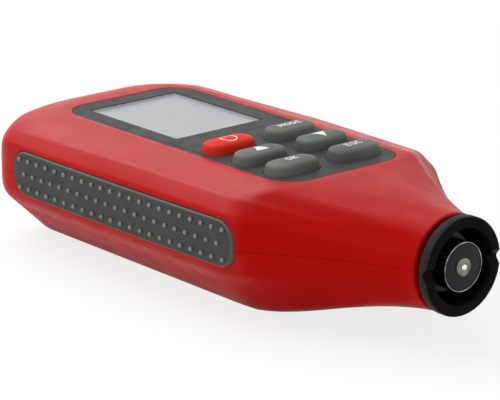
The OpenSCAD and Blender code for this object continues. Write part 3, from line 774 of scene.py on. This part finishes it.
# letters as a width and strokes, on a box one high
letters = {
    "O": (0.85, [arcPath((0.42, 0.5), (0.36, 0.44), 90, 450, 40)]),
    "K": (0.78, [line((0.12, 0), (0.12, 1)), line((0.7, 1), (0.2, 0.45)), line((0.34, 0.6), (0.74, 0))]),
    "E": (0.68, [
        line((0.62, 0.93), (0.12, 0.93), (0.12, 0.07), (0.62, 0.07)), line((0.12, 0.52), (0.55, 0.52)),
    ]),
    "S": (0.68, [np.concatenate([
        arcPath((0.34, 0.71), (0.23, 0.22), 20, 270), arcPath((0.34, 0.28), (0.24, 0.22), 90, -160),
    ])]),
    "C": (0.74, [arcPath((0.42, 0.5), (0.33, 0.43), 45, 315, 32)]),
    "M": (0.95, [line((0.12, 0), (0.12, 0.95), (0.46, 0.3), (0.8, 0.95), (0.8, 0))]),
    "D": (0.8, [np.concatenate([
        line((0.12, 0.07), (0.12, 0.93), (0.32, 0.93)), arcPath((0.32, 0.5), (0.36, 0.43), 88, -88, 20),
        line((0.32, 0.07), (0.12, 0.07)),
    ])]),
}


def wordPaths(word, height):
    # letters side by side, centred on the origin
    widths = [letters[c][0] for c in word]
    starts = np.cumsum([0] + [w + marks["letterGap"] for w in widths[:-1]])
    total = starts[-1] + widths[-1]
    return [(p + [s - total / 2, -0.5]) * height for c, s in zip(word, starts) for p in letters[c][1]]


def strokeSheet(path):
    # a ribbon of even width along a flat path
    along = np.gradient(path, axis=0)
    along /= np.maximum(np.linalg.norm(along, axis=1)[:, None], tiny)
    side = np.stack([-along[:, 1], along[:, 0]], 1)
    return path[:, None] + side[:, None] * np.array([-0.5, 0, 0.5])[None, :, None] * marks["stroke"]


def triangleSheet(way):
    # rows that narrow from the base to the tip
    width, height = marks["triangle"]
    v = np.linspace(0, 1, 12)[:, None]
    u = np.linspace(-0.5, 0.5, 9)[None]
    across = width * u * (1 - marks["triangleTaper"] * v)
    return np.stack([across, way * height * (v - marks["triangleMiddle"]) + 0 * u], -1)


def makeMark(name, key, sheets):
    # flat sheets laid on the key's crown as thin closed prints
    solids = []
    half = (keySize["length"] - keySize["width"]) / 2
    place = keyPlace[key]
    for flat in sheets:
        flat = flat + [0, marks["offset"]]
        beyond = np.maximum(np.abs(flat[..., 0]) - half, 0)
        height = keyHeight(np.hypot(beyond, flat[..., 1]))
        top = np.stack([flat[..., 0] + place[0], flat[..., 1] + place[1], height + marks["proud"]], -1)
        solids.append(slabOf(top, top - [0, 0, marks["proud"] + marks["sink"]]))
    piece = makeObject(name, *joined(solids))
    settle(piece, marks["sharp"])
    return fit(piece, key, "white_plastic")


def makeMarks():
    # an open ring with a line for power, a triangle each for up and down, and the words
    r = marks["powerRadius"]
    low, high = marks["powerLine"]
    ring = arcPath((0, marks["powerDrop"]), (r, r), *marks["powerArc"], 40)
    power = [ring, line((0, low * r), (0, high * r))]
    made = [
        makeMark("powerMark", "power_key", [strokeSheet(p) for p in power]),
        makeMark("upMark", "up_key", [triangleSheet(1)]),
        makeMark("downMark", "down_key", [triangleSheet(-1)]),
    ]
    for key, (word, height) in marks["words"].items():
        made.append(makeMark(word.lower() + "Mark", key, [strokeSheet(p) for p in wordPaths(word, height)]))
    return made


keys = {key: makeKey(key) for key in keyNames}
keyMarks = makeMarks()
print("keys:", len(keys), "marks:", len(keyMarks))

# rubber grips: pad and dots, in millimetres; the values for the painted highlight on the dots' tips and the
# pad's edge are shares for the paint
grip = {
    "edge": 0.45,
    "edgeSteps": 5,
    "padInset": 2.5,
    "padGap": 0.05,
    "dotPitch": 3.33,
    "dotRows": 3.25,
    "dotDiameter": 1.1,
    "dotHeight": 0.5,
    "dotSides": 14,
    "dotRise": (0, 30, 55, 75),
    "dotFlat": 0.35,
    "dotSink": 0.15,
    "endRoom": 5.0,
    # painted highlight: how much of the lighter colour the pad's rounded edge and the dots' tips take
    "edgeHighlight": 0.3,
    "edgeBelow": 0.02,
    "highlightFrom": 0.05,
    "highlightOver": 0.25,
    "sharp": 40.0,
}


def gripPad(top):
    # oblong rings with a quarter-circle edge and a flat top
    g = grip
    a = quarterAngles(g["edgeSteps"])
    flat = [g["padInset"], gripSize["height"] / 2 - g["padGap"]]
    insets = np.concatenate([[0], g["edge"] * (1 - np.cos(a)), flat])
    foot = shell["sideHalf"] - recess["gripDepth"]
    heights = np.concatenate([[foot], top - g["edge"] + g["edge"] * np.sin(a), [top, top]])
    length, height, straight = (gripSize[k] for k in ("length", "height", "straight"))
    return stack(rings(length, height, recess["gripRadius"], insets, straight), heights)


def gripDots(top):
    # domes in three rows at one pitch, the middle row half a pitch on and one dot shorter
    g = grip
    count = int((gripSize["length"] - g["endRoom"]) // g["dotPitch"])
    centres = np.concatenate([
        np.stack([(np.arange(n) - (n - 1) / 2) * g["dotPitch"], np.full(n, y), np.zeros(n)], 1)
        for y, n in ((-g["dotRows"], count + 1), (0.0, count), (g["dotRows"], count + 1))
    ])
    radius, rise = g["dotDiameter"] / 2, np.radians(g["dotRise"])
    radii = np.concatenate([[radius], radius * mix(np.cos(rise), 1, g["dotFlat"])])
    levels = top + np.concatenate([[-g["dotSink"]], g["dotHeight"] * np.sin(rise) / np.sin(rise[-1])])
    dome, faces = stack([circlePoints(g["dotSides"]) * r for r in radii], levels)
    return [(points, faces) for points in dome + centres[:, None]]


def markHighlights(piece, top):
    # a share of painted highlight: 0 on the pad, more on its rounded edge, 1 on a dot's tip
    g = grip
    place = np.empty(3 * len(piece.data.vertices))
    piece.data.vertices.foreach_get("co", place)
    place = place.reshape(-1, 3) / mm
    proud = np.abs(place[:, 0]) + drawWaist(place[:, 1] + shell["length"] / 2) - top
    tip = np.where(proud < -g["edgeBelow"], g["edgeHighlight"], clamp((proud - g["highlightFrom"]) / g["highlightOver"]))
    piece.data.attributes.new("tip", "FLOAT", "POINT").data.foreach_set("value", tip)


def makeGrip(sign, name, node):
    # pad and dots set upright against one side and bent with it
    top = shell["sideHalf"] + recess["gripOut"]
    points, faces = joined([gripPad(top)] + gripDots(top))
    piece = makeObject(name, bent(upright(points) + gripMiddle) * [sign, 1, 1], faces)
    settle(piece, grip["sharp"])
    markHighlights(piece, top)
    return fit(piece, "gauge", "grip_rubber", node)


rightGrip = makeGrip(1, "rightGrip", "right_grip")
leftGrip = makeGrip(-1, "leftGrip", "left_grip")
print("grips:", len(rightGrip.data.polygons), "faces each")

# probe and sleeve: radii, roundings and stations in millimetres
probe = {
    "ringRadius": 10.5,
    "ringBack": 2.45,
    "frontRound": 0.55,
    "backRound": 0.4,
    "mouth": 8.1,
    "mouthRound": 0.45,
    "mouthStep": (0.1, 0.7),
    "throat": (7.4, 3.4),
    "tube": 8.6,
    "collar": (9.4, 9.6, 10.8),
    "sleeveSides": 128,
    "sleeveSharp": 28.0,
    "grooveHalf": 2.0,
    "grooveDepth": 1.3,
    "grooveMouth": ((-1.0, 0.9), (-0.2, 0.2), (0.15, -0.35)),
    "grooveFloor": ((-0.2, 0.55), (0.0, 0.2)),
    "grooveReach": 15.0,
    "sides": 72,
    "cup": 5.25,
    "cupStation": 0.15,
    "cupEnd": 17.0,
    "cupRound": 0.1,
    "rim": 0.22,
    "rimEase": (0.04, 0.05),
    "discStation": 0.3,
    "discEnd": 12.0,
    "discRound": 0.12,
    "pole": 1.95,
    "poleStation": -0.15,
    "poleRound": 0.3,
    "seatGap": 0.02,
    "seatFlare": (0.15, 0.12),
    "ball": 0.75,
    "ballFront": -0.6,
    "ballSteps": 24,
}


def roundEdge(centre, radius, start, end, n=5):
    # points of a round edge as (radius, station)
    return [tuple(p) for p in arcPath(centre, (radius, radius), start, end, n)]


def frontEdge(radius, station, r):
    # a quarter circle from an outer side to a front face
    return roundEdge((radius - r, station + r), r, 0, -90, 4)


def makeSleeve():
    # a turned ring, tube and collar, less a V-groove with eased edges across the front
    p = probe
    collar, collarStart, collarEnd = p["collar"]
    r, mouth, front, rear = p["ringRadius"], p["mouthRound"], p["frontRound"], p["backRound"]
    throatEnd = (p["throat"][0], collarEnd)
    mouthInner = (p["mouth"] - p["mouthStep"][0], p["mouthStep"][1])
    profile = (
        [throatEnd, p["throat"], mouthInner]
        + roundEdge((p["mouth"] + mouth, mouth), mouth, 200, 270)
        + roundEdge((r - front, front), front, 270, 360)
        + roundEdge((r - rear, p["ringBack"] - rear), rear, 0, 90)
        + [(p["tube"], p["ringBack"]), (p["tube"], collarStart), (collar, collarStart), (collar, collarEnd)]
        + [throatEnd]
    )
    piece = makeObject("probeSleeve", *turned(profile, p["sleeveSides"]))
    flank = [(s, p["grooveHalf"] + w) for s, w in p["grooveMouth"]]
    flank += [(p["grooveDepth"] + s, w) for s, w in p["grooveFloor"]]
    groove = np.array(flank + [(s, -w) for s, w in flank[::-1]])
    points, faces = stack([groove, groove], [-p["grooveReach"], p["grooveReach"]])
    points = upright(points) + [0, -shell["length"] / 2, shell["axisHeight"]]
    carve(piece, [makeObject("grooveCut", points, faces)], p["sleeveSharp"])
    return fit(piece, "sleeve", "sleeve_plastic", "probe_sleeve")


def makeProbe():
    # cup, disc, pole and ball turned about one axis, each from its profile
    p = probe
    inner, deep = p["cup"] - p["rim"], p["discEnd"]
    easeIn, easeBack = p["rimEase"]
    cup = (
        [(0, p["cupEnd"]), (p["cup"], p["cupEnd"])]
        + frontEdge(p["cup"], p["cupStation"], p["cupRound"])
        + [(inner + easeIn, p["cupStation"]), (inner, p["cupStation"] + easeBack), (inner, deep), (0, deep)]
    )
    disc = (
        [(p["pole"], deep), (inner, deep), (inner, p["discStation"] + p["discRound"])]
        + frontEdge(inner, p["discStation"], p["discRound"])
        + [(p["pole"], p["discStation"]), (p["pole"], deep)]
    )
    ballMiddle = p["ballFront"] + p["ball"]
    seat = np.sqrt(p["ball"] ** 2 - (ballMiddle - p["poleStation"]) ** 2) + p["seatGap"]
    flareOut, flareBack = p["seatFlare"]
    pole = (
        [(0, deep), (p["pole"], deep)]
        + frontEdge(p["pole"], p["poleStation"], p["poleRound"])
        + [(seat + flareOut, p["poleStation"]), (seat, p["poleStation"] + flareBack)]
        + [(seat, ballMiddle), (0, ballMiddle)]
    )
    t = np.linspace(-np.pi / 2, np.pi / 2, p["ballSteps"] + 1)
    ball = np.stack([p["ball"] * np.cos(t), ballMiddle + p["ball"] * np.sin(t)], 1)
    made = {}
    for name, profile, node, slotName in (
        ("probeCup", cup, "probe_body", "plated_steel"),
        ("probeDisc", disc, "probe_insert", "black_plastic"),
        ("probePole", pole, "probe_pole", "steel"),
        ("probeBall", ball, "probe_tip", "plated_steel"),
    ):
        piece = settle(makeObject(name, *turned(profile, p["sides"])))
        made[name] = fit(piece, "gauge", slotName, node)
    return made


# sleeve spring: radii and stations in millimetres
coil = {
    "turns": 4,
    "radius": 8.0,
    "wire": 0.4,
    "start": 10.8,
    "end": 17.0,
    "ease": 0.4,
    "turnSteps": 32,
    "wireSides": 10,
    "sharp": 60.0,
    "keep": 0.8,
}


def makeSpring():
    # wire circle carried along a helix whose pitch eases off at both ends
    c = coil
    t = np.linspace(0, 1, c["turns"] * c["turnSteps"] + 1)
    angle = 2 * np.pi * c["turns"] * t
    y = mix(c["start"] + c["wire"], c["end"] - c["wire"], c["ease"] * smooth(t) + (1 - c["ease"]) * t)
    centre = np.stack([c["radius"] * np.cos(angle), y, c["radius"] * np.sin(angle)], 1)
    out = np.stack([np.cos(angle), 0 * angle, np.sin(angle)], 1)
    ring = circlePoints(c["wireSides"])
    wire = c["wire"] * (ring[None, :, :1] * out[:, None] + ring[None, :, 1:] * np.array([0, 1, 0]))
    points = (centre[:, None] + wire).reshape(-1, 3) + [0, -shell["length"] / 2, shell["axisHeight"]]
    faces = gridFaces(len(t), len(ring), wrap=True)
    faces += [list(range(len(ring))), list(range(len(points) - len(ring), len(points)))]
    piece = makeObject("sleeveSpring", points, faces)
    settle(piece, c["sharp"])
    fit(piece, "gauge", "steel", "sleeve_spring")
    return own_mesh(piece)


sleeve = makeSleeve()
probePieces = makeProbe()
spring = makeSpring()
print("probe: sleeve", len(sleeve.data.polygons), "faces")

# display pane, in millimetres
pane = {"edge": 0.15, "radius": 0.5, "corner": 4, "over": 0.05, "bevel": 0.2, "sunk": 0.02, "sharp": 30.0}


def makeWindow():
    # a clear pane with slanted edges, just clear of the display below it
    p = pane
    width, length = (windowHigh - windowLow)[:2]
    low, high = windowLow[2], windowHigh[2]
    heights = [low + p["over"], low + p["bevel"], high - p["bevel"], high - p["sunk"]]
    insets = [p["edge"], 0, 0, p["edge"]]
    outlines = [oblong(width - 2 * i, length - 2 * i, p["radius"], p["corner"]) for i in insets]
    points, faces = stack(outlines, heights)
    piece = makeObject("windowPane", moved(points, *windowMiddle[:2]), faces)
    settle(piece, p["sharp"])
    return fit(piece, "gauge", "clear_window", "lcd_window")


window = makeWindow()

# bevels on CAD nodes: widths in millimetres by node
softEdges = {"face_panel": 0.12, "battery_door": 0.25, "door_screw": 0.12, "case_screws": 0.12}
softRules = {"weld": 1e-6, "segments": 2, "angle": 40.0}


def softenEdges(node, width):
    # a CAD node keeps its shape and gets a small bevel on its sharp edges
    weld = nodes[node].modifiers.new("weld", "WELD")
    weld.merge_threshold = softRules["weld"]
    bevel = nodes[node].modifiers.new("bevel", "BEVEL")
    bevel.width = width * mm
    bevel.segments = softRules["segments"]
    bevel.limit_method = "ANGLE"
    bevel.angle_limit = np.radians(softRules["angle"])
    bevel.harden_normals = False


for node, width in softEdges.items():
    softenEdges(node, width)
print("edges softened")

# patterns of the paints: scales to the metre, shares of noise, depths in metres
pattern = {
    "cloud": 90.0,
    "patch": 260.0,
    "cloudDetail": 3.0,
    "middle": (0.3, 0.7),
    "grainRough": 0.6,
    "grainDepth": 0.00005,
    "metalCloud": 700.0,
    "ringWander": 0.6,
    "ringStrength": 0.08,
    "ringDepth": 0.00002,
}


class Paint:
    # a material with a Principled shader and short calls for its detail
    def __init__(self, name, **sockets):
        # sockets are the shader's inputs by name, with underscores for spaces
        self.material = bpy.data.materials.new(name)
        self.material.use_nodes = True
        self.tree = self.material.node_tree
        self.shader = self.tree.nodes["Principled BSDF"]
        for key, value in sockets.items():
            self.shader.inputs[key.replace("_", " ")].default_value = value

    def node(self, kind, **inputs):
        # a node with some of its inputs set
        made = self.tree.nodes.new(kind)
        for key, value in inputs.items():
            made.inputs[key.replace("_", " ")].default_value = value
        return made

    def link(self, start, end):
        # one socket into another
        self.tree.links.new(start, end)

    def place(self):
        # where a point lies on the part, in metres
        return self.node("ShaderNodeTexCoord").outputs["Object"]

    def axes(self):
        # the place's X, Y and Z
        made = self.node("ShaderNodeSeparateXYZ")
        self.link(self.place(), made.inputs["Vector"])
        return made.outputs

    def aboutProbe(self, scale=(1, 1, 1)):
        # the place measured from the probe's axis
        made = self.node("ShaderNodeMapping", Location=(0, 0, -shell["axisHeight"] * mm), Scale=scale)
        self.link(self.place(), made.inputs["Vector"])
        return made.outputs["Vector"]

    def math(self, operation, a, b):
        # two sockets through one operation
        made = self.node("ShaderNodeMath")
        made.operation = operation
        self.link(a, made.inputs[0])
        self.link(b, made.inputs[1])
        return made.outputs[0]

    def noise(self, scale, detail=2.0, roughness=0.5):
        # a cloud of values about one half
        made = self.node("ShaderNodeTexNoise", Scale=scale, Detail=detail, Roughness=roughness)
        self.link(self.place(), made.inputs["Vector"])
        return made.outputs["Fac"]

    def spread(self, value, low, high, start=pattern["middle"][0], end=pattern["middle"][1]):
        # low to high, held outside, while the value goes from start to end
        made = self.node("ShaderNodeMapRange", From_Min=start, From_Max=end, To_Min=low, To_Max=high)
        self.link(value, made.inputs["Value"])
        return made.outputs["Result"]

    def along(self, value, low, high, start, end):
        # the same with start and end in millimetres
        return self.spread(value, low, high, start * mm, end * mm)

    def blend(self, factor, a, b):
        # from a to b by a factor; each is a colour or a socket
        made = self.node("ShaderNodeMix")
        made.data_type = "RGBA"
        self.link(factor, made.inputs["Factor"])
        for socket, value in ((made.inputs[6], a), (made.inputs[7], b)):
            if isinstance(value, bpy.types.NodeSocket):
                self.link(value, socket)
            else:
                socket.default_value = (*value, 1.0)
        return made.outputs[2]

    def cloudy(self, scale, dark, light):
        # a mottle of two colours by the middle of a noise
        return self.blend(self.spread(self.noise(scale, pattern["cloudDetail"]), 0.0, 1.0), dark, light)

    def colour(self, value):
        # the shader's colour from a socket
        self.link(value, self.shader.inputs["Base Color"])

    def rough(self, value):
        # the shader's roughness from a socket
        self.link(value, self.shader.inputs["Roughness"])

    def patchy(self, scale, low, high):
        # roughness that wanders from low to high with a noise
        self.rough(self.spread(self.noise(scale), low, high))

    def bump(self, height, strength, distance):
        # the normal tilted by the slope of a height
        made = self.node("ShaderNodeBump", Strength=strength, Distance=distance)
        self.link(height, made.inputs["Height"])
        self.link(made.outputs["Normal"], self.shader.inputs["Normal"])

    def grain(self, scale, strength):
        # a fine noise as a height
        self.bump(self.noise(scale, roughness=pattern["grainRough"]), strength, pattern["grainDepth"])


def moulded(name, dark, light, rough, grain, specular):
    # moulded plastic or rubber: cloudy colour, patchy gloss, fine grain
    p = Paint(name, Specular_IOR_Level=specular)
    p.colour(p.cloudy(pattern["cloud"], dark, light))
    p.patchy(pattern["patch"], *rough)
    p.grain(*grain)
    return p.material


def machined(name, dark, light, rough, turns):
    # metal with fine turned rings about the probe's axis
    p = Paint(name, Metallic=1.0)
    wave = p.node("ShaderNodeTexWave", Scale=turns, Distortion=pattern["ringWander"], Detail=2.0)
    wave.wave_type = "RINGS"
    wave.rings_direction = "Y"
    p.link(p.aboutProbe(), wave.inputs["Vector"])
    p.colour(p.cloudy(pattern["metalCloud"], dark, light))
    p.rough(p.spread(wave.outputs["Fac"], *rough, 0.0, 1.0))
    p.bump(wave.outputs["Fac"], pattern["ringStrength"], pattern["ringDepth"])
    return p.material


# red case: gloss and height shares as from, to, start and end, in millimetres along Y or up Z
caseLook = {
    "colours": ((0.41, 0.0035, 0.0025), (0.45, 0.005, 0.0035)),
    "rough": (0.32, 0.42),
    "grain": (2200.0, 0.3),
    "shoulderGloss": (0.02, 0.15, 24.0, 29.0),
    "rearGloss": (0.0, 0.08, -25.6, -23.8),
    "rearHeight": (0.0, 1.0, 8.0, 18.0),
    "lipGloss": (0.4, 0.0, -59.2, -58.0),
    "lipHeight": (0.0, 1.0, 12.0, 18.0),
}


def casePaint():
    # red plastic; gloss is the sum of a share on the shoulders, one behind the front edge and one at the lip
    p, c = Paint("redCase"), caseLook
    _, y, z = p.axes()
    rear = p.math("MULTIPLY", p.along(y, *c["rearGloss"]), p.along(z, *c["rearHeight"]))
    lip = p.math("MULTIPLY", p.along(y, *c["lipGloss"]), p.along(z, *c["lipHeight"]))
    gloss = p.math("ADD", p.along(z, *c["shoulderGloss"]), p.math("ADD", rear, lip))
    p.link(gloss, p.shader.inputs["Specular IOR Level"])
    p.colour(p.cloudy(pattern["cloud"], *c["colours"]))
    p.patchy(pattern["patch"], *c["rough"])
    p.grain(*c["grain"])
    return p.material


sleeveLook = {
    "cloud": 150.0,
    "colours": ((0.002, 0.002, 0.002), (0.004, 0.004, 0.0035)),
    # painted sheen: the lighter grey of the outer side stands in for the lamps' sheen; its depth is in
    # millimetres
    "paintedSheen": (0.024, 0.024, 0.022),
    "paintedSheenDepth": 0.3,
    "rough": (0.4, 0.5),
    "grain": (1800.0, 0.15),
    "specular": 0.03,
}


def sleevePaint():
    # black plastic with painted sheen: greyer on its outer side, by the distance from the probe's axis
    s, r = sleeveLook, probe["ringRadius"]
    p = Paint("sleeveBlack", Specular_IOR_Level=s["specular"])
    away = p.node("ShaderNodeVectorMath")
    away.operation = "LENGTH"
    p.link(p.aboutProbe((1, 0, 1)), away.inputs[0])
    # painted sheen: the share of the lighter grey, rising over the outer side
    outer = p.along(away.outputs["Value"], 0.0, 1.0, r - s["paintedSheenDepth"], r)
    p.colour(p.blend(outer, p.cloudy(s["cloud"], *s["colours"]), s["paintedSheen"]))
    p.patchy(pattern["patch"], *s["rough"])
    p.grain(*s["grain"])
    return p.material


gripLook = {
    "cloud": 120.0,
    "colours": ((0.027, 0.028, 0.025), (0.037, 0.038, 0.034)),
    # painted highlight: the lighter colour of the dots' tips and the pad's rounded edge
    "tip": (0.20, 0.20, 0.185),
    "patch": 300.0,
    "rough": (0.48, 0.6),
    "grain": (2600.0, 0.2),
    "specular": 0.35,
}


def gripPaint():
    # dark rubber, with painted highlight: the proud tips of the dots and the pad's rounded edge lighter
    g = gripLook
    p = Paint("gripRubber", Specular_IOR_Level=g["specular"])
    tip = p.node("ShaderNodeAttribute")
    tip.attribute_name = "tip"
    # painted highlight: the lighter colour laid on by the tip share
    p.colour(p.blend(tip.outputs["Fac"], p.cloudy(g["cloud"], *g["colours"]), g["tip"]))
    p.patchy(g["patch"], *g["rough"])
    p.grain(*g["grain"])
    return p.material


# display: cells to the metre, tint's start and end before the edge in millimetres
displayLook = {
    "cells": 900.0,
    "line": 0.03,
    "cellColours": ((0.465, 0.495, 0.475, 1), (0.475, 0.505, 0.485, 1)),
    "lineColour": (0.42, 0.45, 0.435, 1),
    "tint": (0.50, 0.46, 0.60),
    "tintReach": (6.5, 1.2),
    "rough": 0.25,
}


def displayPaint():
    # pale grey-green glass with a faint grid of cells, tinted by the nearness to the right and rear edges
    d = displayLook
    p = Paint("displayGlass", Roughness=d["rough"])
    start, end = d["tintReach"]
    x, y, _ = p.axes()
    right, rear = windowHigh[:2]
    edge = p.math(
        "MAXIMUM",
        p.along(x, 0.0, 1.0, right - start, right - end), p.along(y, 0.0, 1.0, rear - start, rear - end),
    )
    first, second = d["cellColours"]
    cells = p.node(
        "ShaderNodeTexBrick", Scale=d["cells"], Mortar_Size=d["line"], Brick_Width=1.0, Row_Height=1.0,
        Color1=first, Color2=second, Mortar=d["lineColour"],
    )
    cells.offset = 0.0
    p.link(p.place(), cells.inputs["Vector"])
    p.colour(p.blend(edge, cells.outputs["Color"], d["tint"]))
    return p.material


clearLook = {
    "alpha": 0.3,
    "cloud": 120.0,
    "colours": ((0.60, 0.62, 0.62), (0.66, 0.68, 0.68)),
    "patch": 300.0,
    "rough": (0.04, 0.10),
}


def clearPaint():
    # a clear pane, faintly cloudy and patchy in gloss
    c = clearLook
    p = Paint("clearPane", Alpha=c["alpha"])
    p.colour(p.blend(p.noise(c["cloud"]), *c["colours"]))
    p.patchy(c["patch"], *c["rough"])
    return p.material


printLook = {
    "colours": ((0.80, 0.80, 0.79), (0.62, 0.63, 0.63)),
    "spots": (2500.0, 4.0),
    "worn": (0.55, 0.75),
    "rough": 0.5,
}


def printPaint():
    # white ink with a few thin spots, where a fine noise is high
    k = printLook
    p = Paint("keyPrint", Roughness=k["rough"])
    p.colour(p.blend(p.spread(p.noise(*k["spots"]), 0.0, 1.0, *k["worn"]), *k["colours"]))
    return p.material


# dark and light colours, roughness from and to, grain to the metre with its strength, specular level
mouldings = {
    "panelMatt": ((0.020, 0.021, 0.021), (0.028, 0.029, 0.029), (0.45, 0.58), (2600.0, 0.3), 0.2),
    "keyRubber": ((0.080, 0.084, 0.075), (0.140, 0.146, 0.131), (0.5, 0.65), (1900.0, 0.8), 0.3),
    "redRubber": ((0.66, 0.020, 0.008), (0.75, 0.030, 0.013), (0.45, 0.56), (2400.0, 0.3), 0.15),
    "discBlack": ((0.006, 0.006, 0.007), (0.010, 0.010, 0.011), (0.4, 0.5), (2200.0, 0.2), 0.2),
    "blackPlastic": ((0.012, 0.012, 0.013), (0.02, 0.02, 0.021), (0.45, 0.6), (2000.0, 0.2), 0.5),
    "whitePlastic": ((0.70, 0.69, 0.65), (0.76, 0.75, 0.71), (0.4, 0.55), (2000.0, 0.15), 0.5),
    "pinkRubber": ((0.60, 0.28, 0.32), (0.66, 0.32, 0.36), (0.5, 0.6), (2000.0, 0.2), 0.5),
    "boardGreen": ((0.012, 0.10, 0.035), (0.016, 0.13, 0.045), (0.3, 0.42), (1500.0, 0.15), 0.5),
    "cellCan": ((0.03, 0.035, 0.045), (0.04, 0.046, 0.058), (0.3, 0.4), (1500.0, 0.1), 0.5),
}
# dark and light colours, roughness from and to, turned rings to the metre
metals = {
    "rimSteel": ((0.10, 0.095, 0.075), (0.50, 0.48, 0.41), (0.25, 0.45), 3000.0),
    "poleSteel": ((0.13, 0.13, 0.105), (0.26, 0.25, 0.21), (0.3, 0.5), 2500.0),
    "plated": ((0.72, 0.71, 0.68), (0.80, 0.79, 0.76), (0.12, 0.24), 3000.0),
    "steel": ((0.50, 0.50, 0.48), (0.62, 0.61, 0.58), (0.25, 0.4), 2500.0),
    "brass": ((0.62, 0.48, 0.22), (0.72, 0.56, 0.28), (0.2, 0.35), 2500.0),
}
finish = {
    "redCase": casePaint(),
    "gripRubber": gripPaint(),
    "sleeveBlack": sleevePaint(),
    "display": displayPaint(),
    "clear": clearPaint(),
    "print": printPaint(),
}
finish.update({name: moulded(name, *look) for name, look in mouldings.items()})
finish.update({name: machined(name, *look) for name, look in metals.items()})


def dress(name, *pieces):
    # one finish on each piece
    for piece in pieces:
        piece.data.materials.clear()
        piece.data.materials.append(finish[name])


dress("redCase", frontShell, rearShell, nodes["battery_door"])
for key, piece in keys.items():
    dress("redRubber" if key == "power_key" else "keyRubber", piece)
dress("print", *keyMarks)
dress("gripRubber", leftGrip, rightGrip)
dress("sleeveBlack", sleeve)
dress("rimSteel", probePieces["probeCup"])
dress("discBlack", probePieces["probeDisc"])
dress("poleSteel", probePieces["probePole"])
dress("plated", probePieces["probeBall"])
dress("steel", spring)
dress("clear", window)
nodeFinish = {
    "panelMatt": ("face_panel",),
    "display": ("lcd_glass",),
    "blackPlastic": ("lcd_frame", "board_chips", "probe_holder", "probe_lead"),
    "whitePlastic": ("lcd_backlight", "keypad_mat"),
    "pinkRubber": ("lcd_connector",),
    "boardGreen": ("circuit_board",),
    "steel": ("key_switches", "board_screws"),
    "poleSteel": ("door_screw", "case_screws"),
    "cellCan": ("battery_left", "battery_right"),
    "brass": ("battery_springs", "battery_plates"),
}
for name, dressed in nodeFinish.items():
    dress(name, *(nodes[node] for node in dressed))
print("materials:", len(finish))

# stage: pale floor, white surround and soft lamps; lengths in metres
studio = {
    "floorSize": 3.0,
    "floorColour": (0.88, 0.88, 0.88, 1),
    "floorRough": 0.6,
    "floorGlow": 0.8,
    "worldLight": 0.25,
    "lamps": (
        # name, place, size, watts
        ("overhead", (-0.10, 0.40, 0.75), 0.9, 7.5),
        ("side", (-0.80, -0.10, 0.45), 0.6, 2.0),
        ("front", (0.30, -0.90, 0.50), 0.6, 1.7),
    ),
    "aim": (0.0, 0.0, 0.015),
}


def seenDirectly(tree):
    # 1 for rays from the camera, from gloss and through clear parts
    light = tree.nodes.new("ShaderNodeLightPath")
    total = light.outputs["Is Camera Ray"]
    for name in ("Is Glossy Ray", "Is Transmission Ray"):
        add = tree.nodes.new("ShaderNodeMath")
        add.operation = "MAXIMUM"
        tree.links.new(total, add.inputs[0])
        tree.links.new(light.outputs[name], add.inputs[1])
        total = add.outputs[0]
    return total


def makeWorld():
    # white where seen, and dimmer as a light
    world = bpy.data.worlds.new("studioWhite")
    world.use_nodes = True
    scene.world = world
    tree = world.node_tree
    background = tree.nodes["Background"]
    background.inputs["Color"].default_value = (1, 1, 1, 1)
    level = tree.nodes.new("ShaderNodeMapRange")
    level.inputs["To Min"].default_value = studio["worldLight"]
    level.inputs["To Max"].default_value = 1.0
    tree.links.new(seenDirectly(tree), level.inputs["Value"])
    tree.links.new(level.outputs["Result"], background.inputs["Strength"])


def makeFloor():
    # a square that is part paint, which keeps the shadow, and part white glow where seen
    half = studio["floorSize"] / 2
    corners = [(-half, -half, 0), (half, -half, 0), (half, half, 0), (-half, half, 0)]
    mesh = bpy.data.meshes.new("floor")
    mesh.from_pydata(corners, [], [(0, 1, 2, 3)])
    floor = bpy.data.objects.new("floor", mesh)
    scene.collection.objects.link(floor)
    paint = Paint("floorWhite", Roughness=studio["floorRough"], Base_Color=studio["floorColour"])
    glow = paint.node("ShaderNodeEmission", Strength=1.0)
    both = paint.node("ShaderNodeMixShader")
    share = paint.node("ShaderNodeMath")
    share.operation = "MULTIPLY"
    share.inputs[1].default_value = studio["floorGlow"]
    paint.link(seenDirectly(paint.tree), share.inputs[0])
    paint.link(share.outputs[0], both.inputs["Fac"])
    paint.link(paint.shader.outputs["BSDF"], both.inputs[1])
    paint.link(glow.outputs["Emission"], both.inputs[2])
    paint.link(both.outputs["Shader"], paint.tree.nodes["Material Output"].inputs["Surface"])
    floor.data.materials.append(paint.material)


def makeLamps():
    # square lamps turned to one point
    for name, place, size, watts in studio["lamps"]:
        data = bpy.data.lights.new(name, "AREA")
        data.size = size
        data.energy = watts
        lamp = bpy.data.objects.new(name, data)
        lamp.matrix_world = facing(place, np.subtract(place, studio["aim"]))
        scene.collection.objects.link(lamp)


makeWorld()
makeFloor()
makeLamps()
print("stage ready")
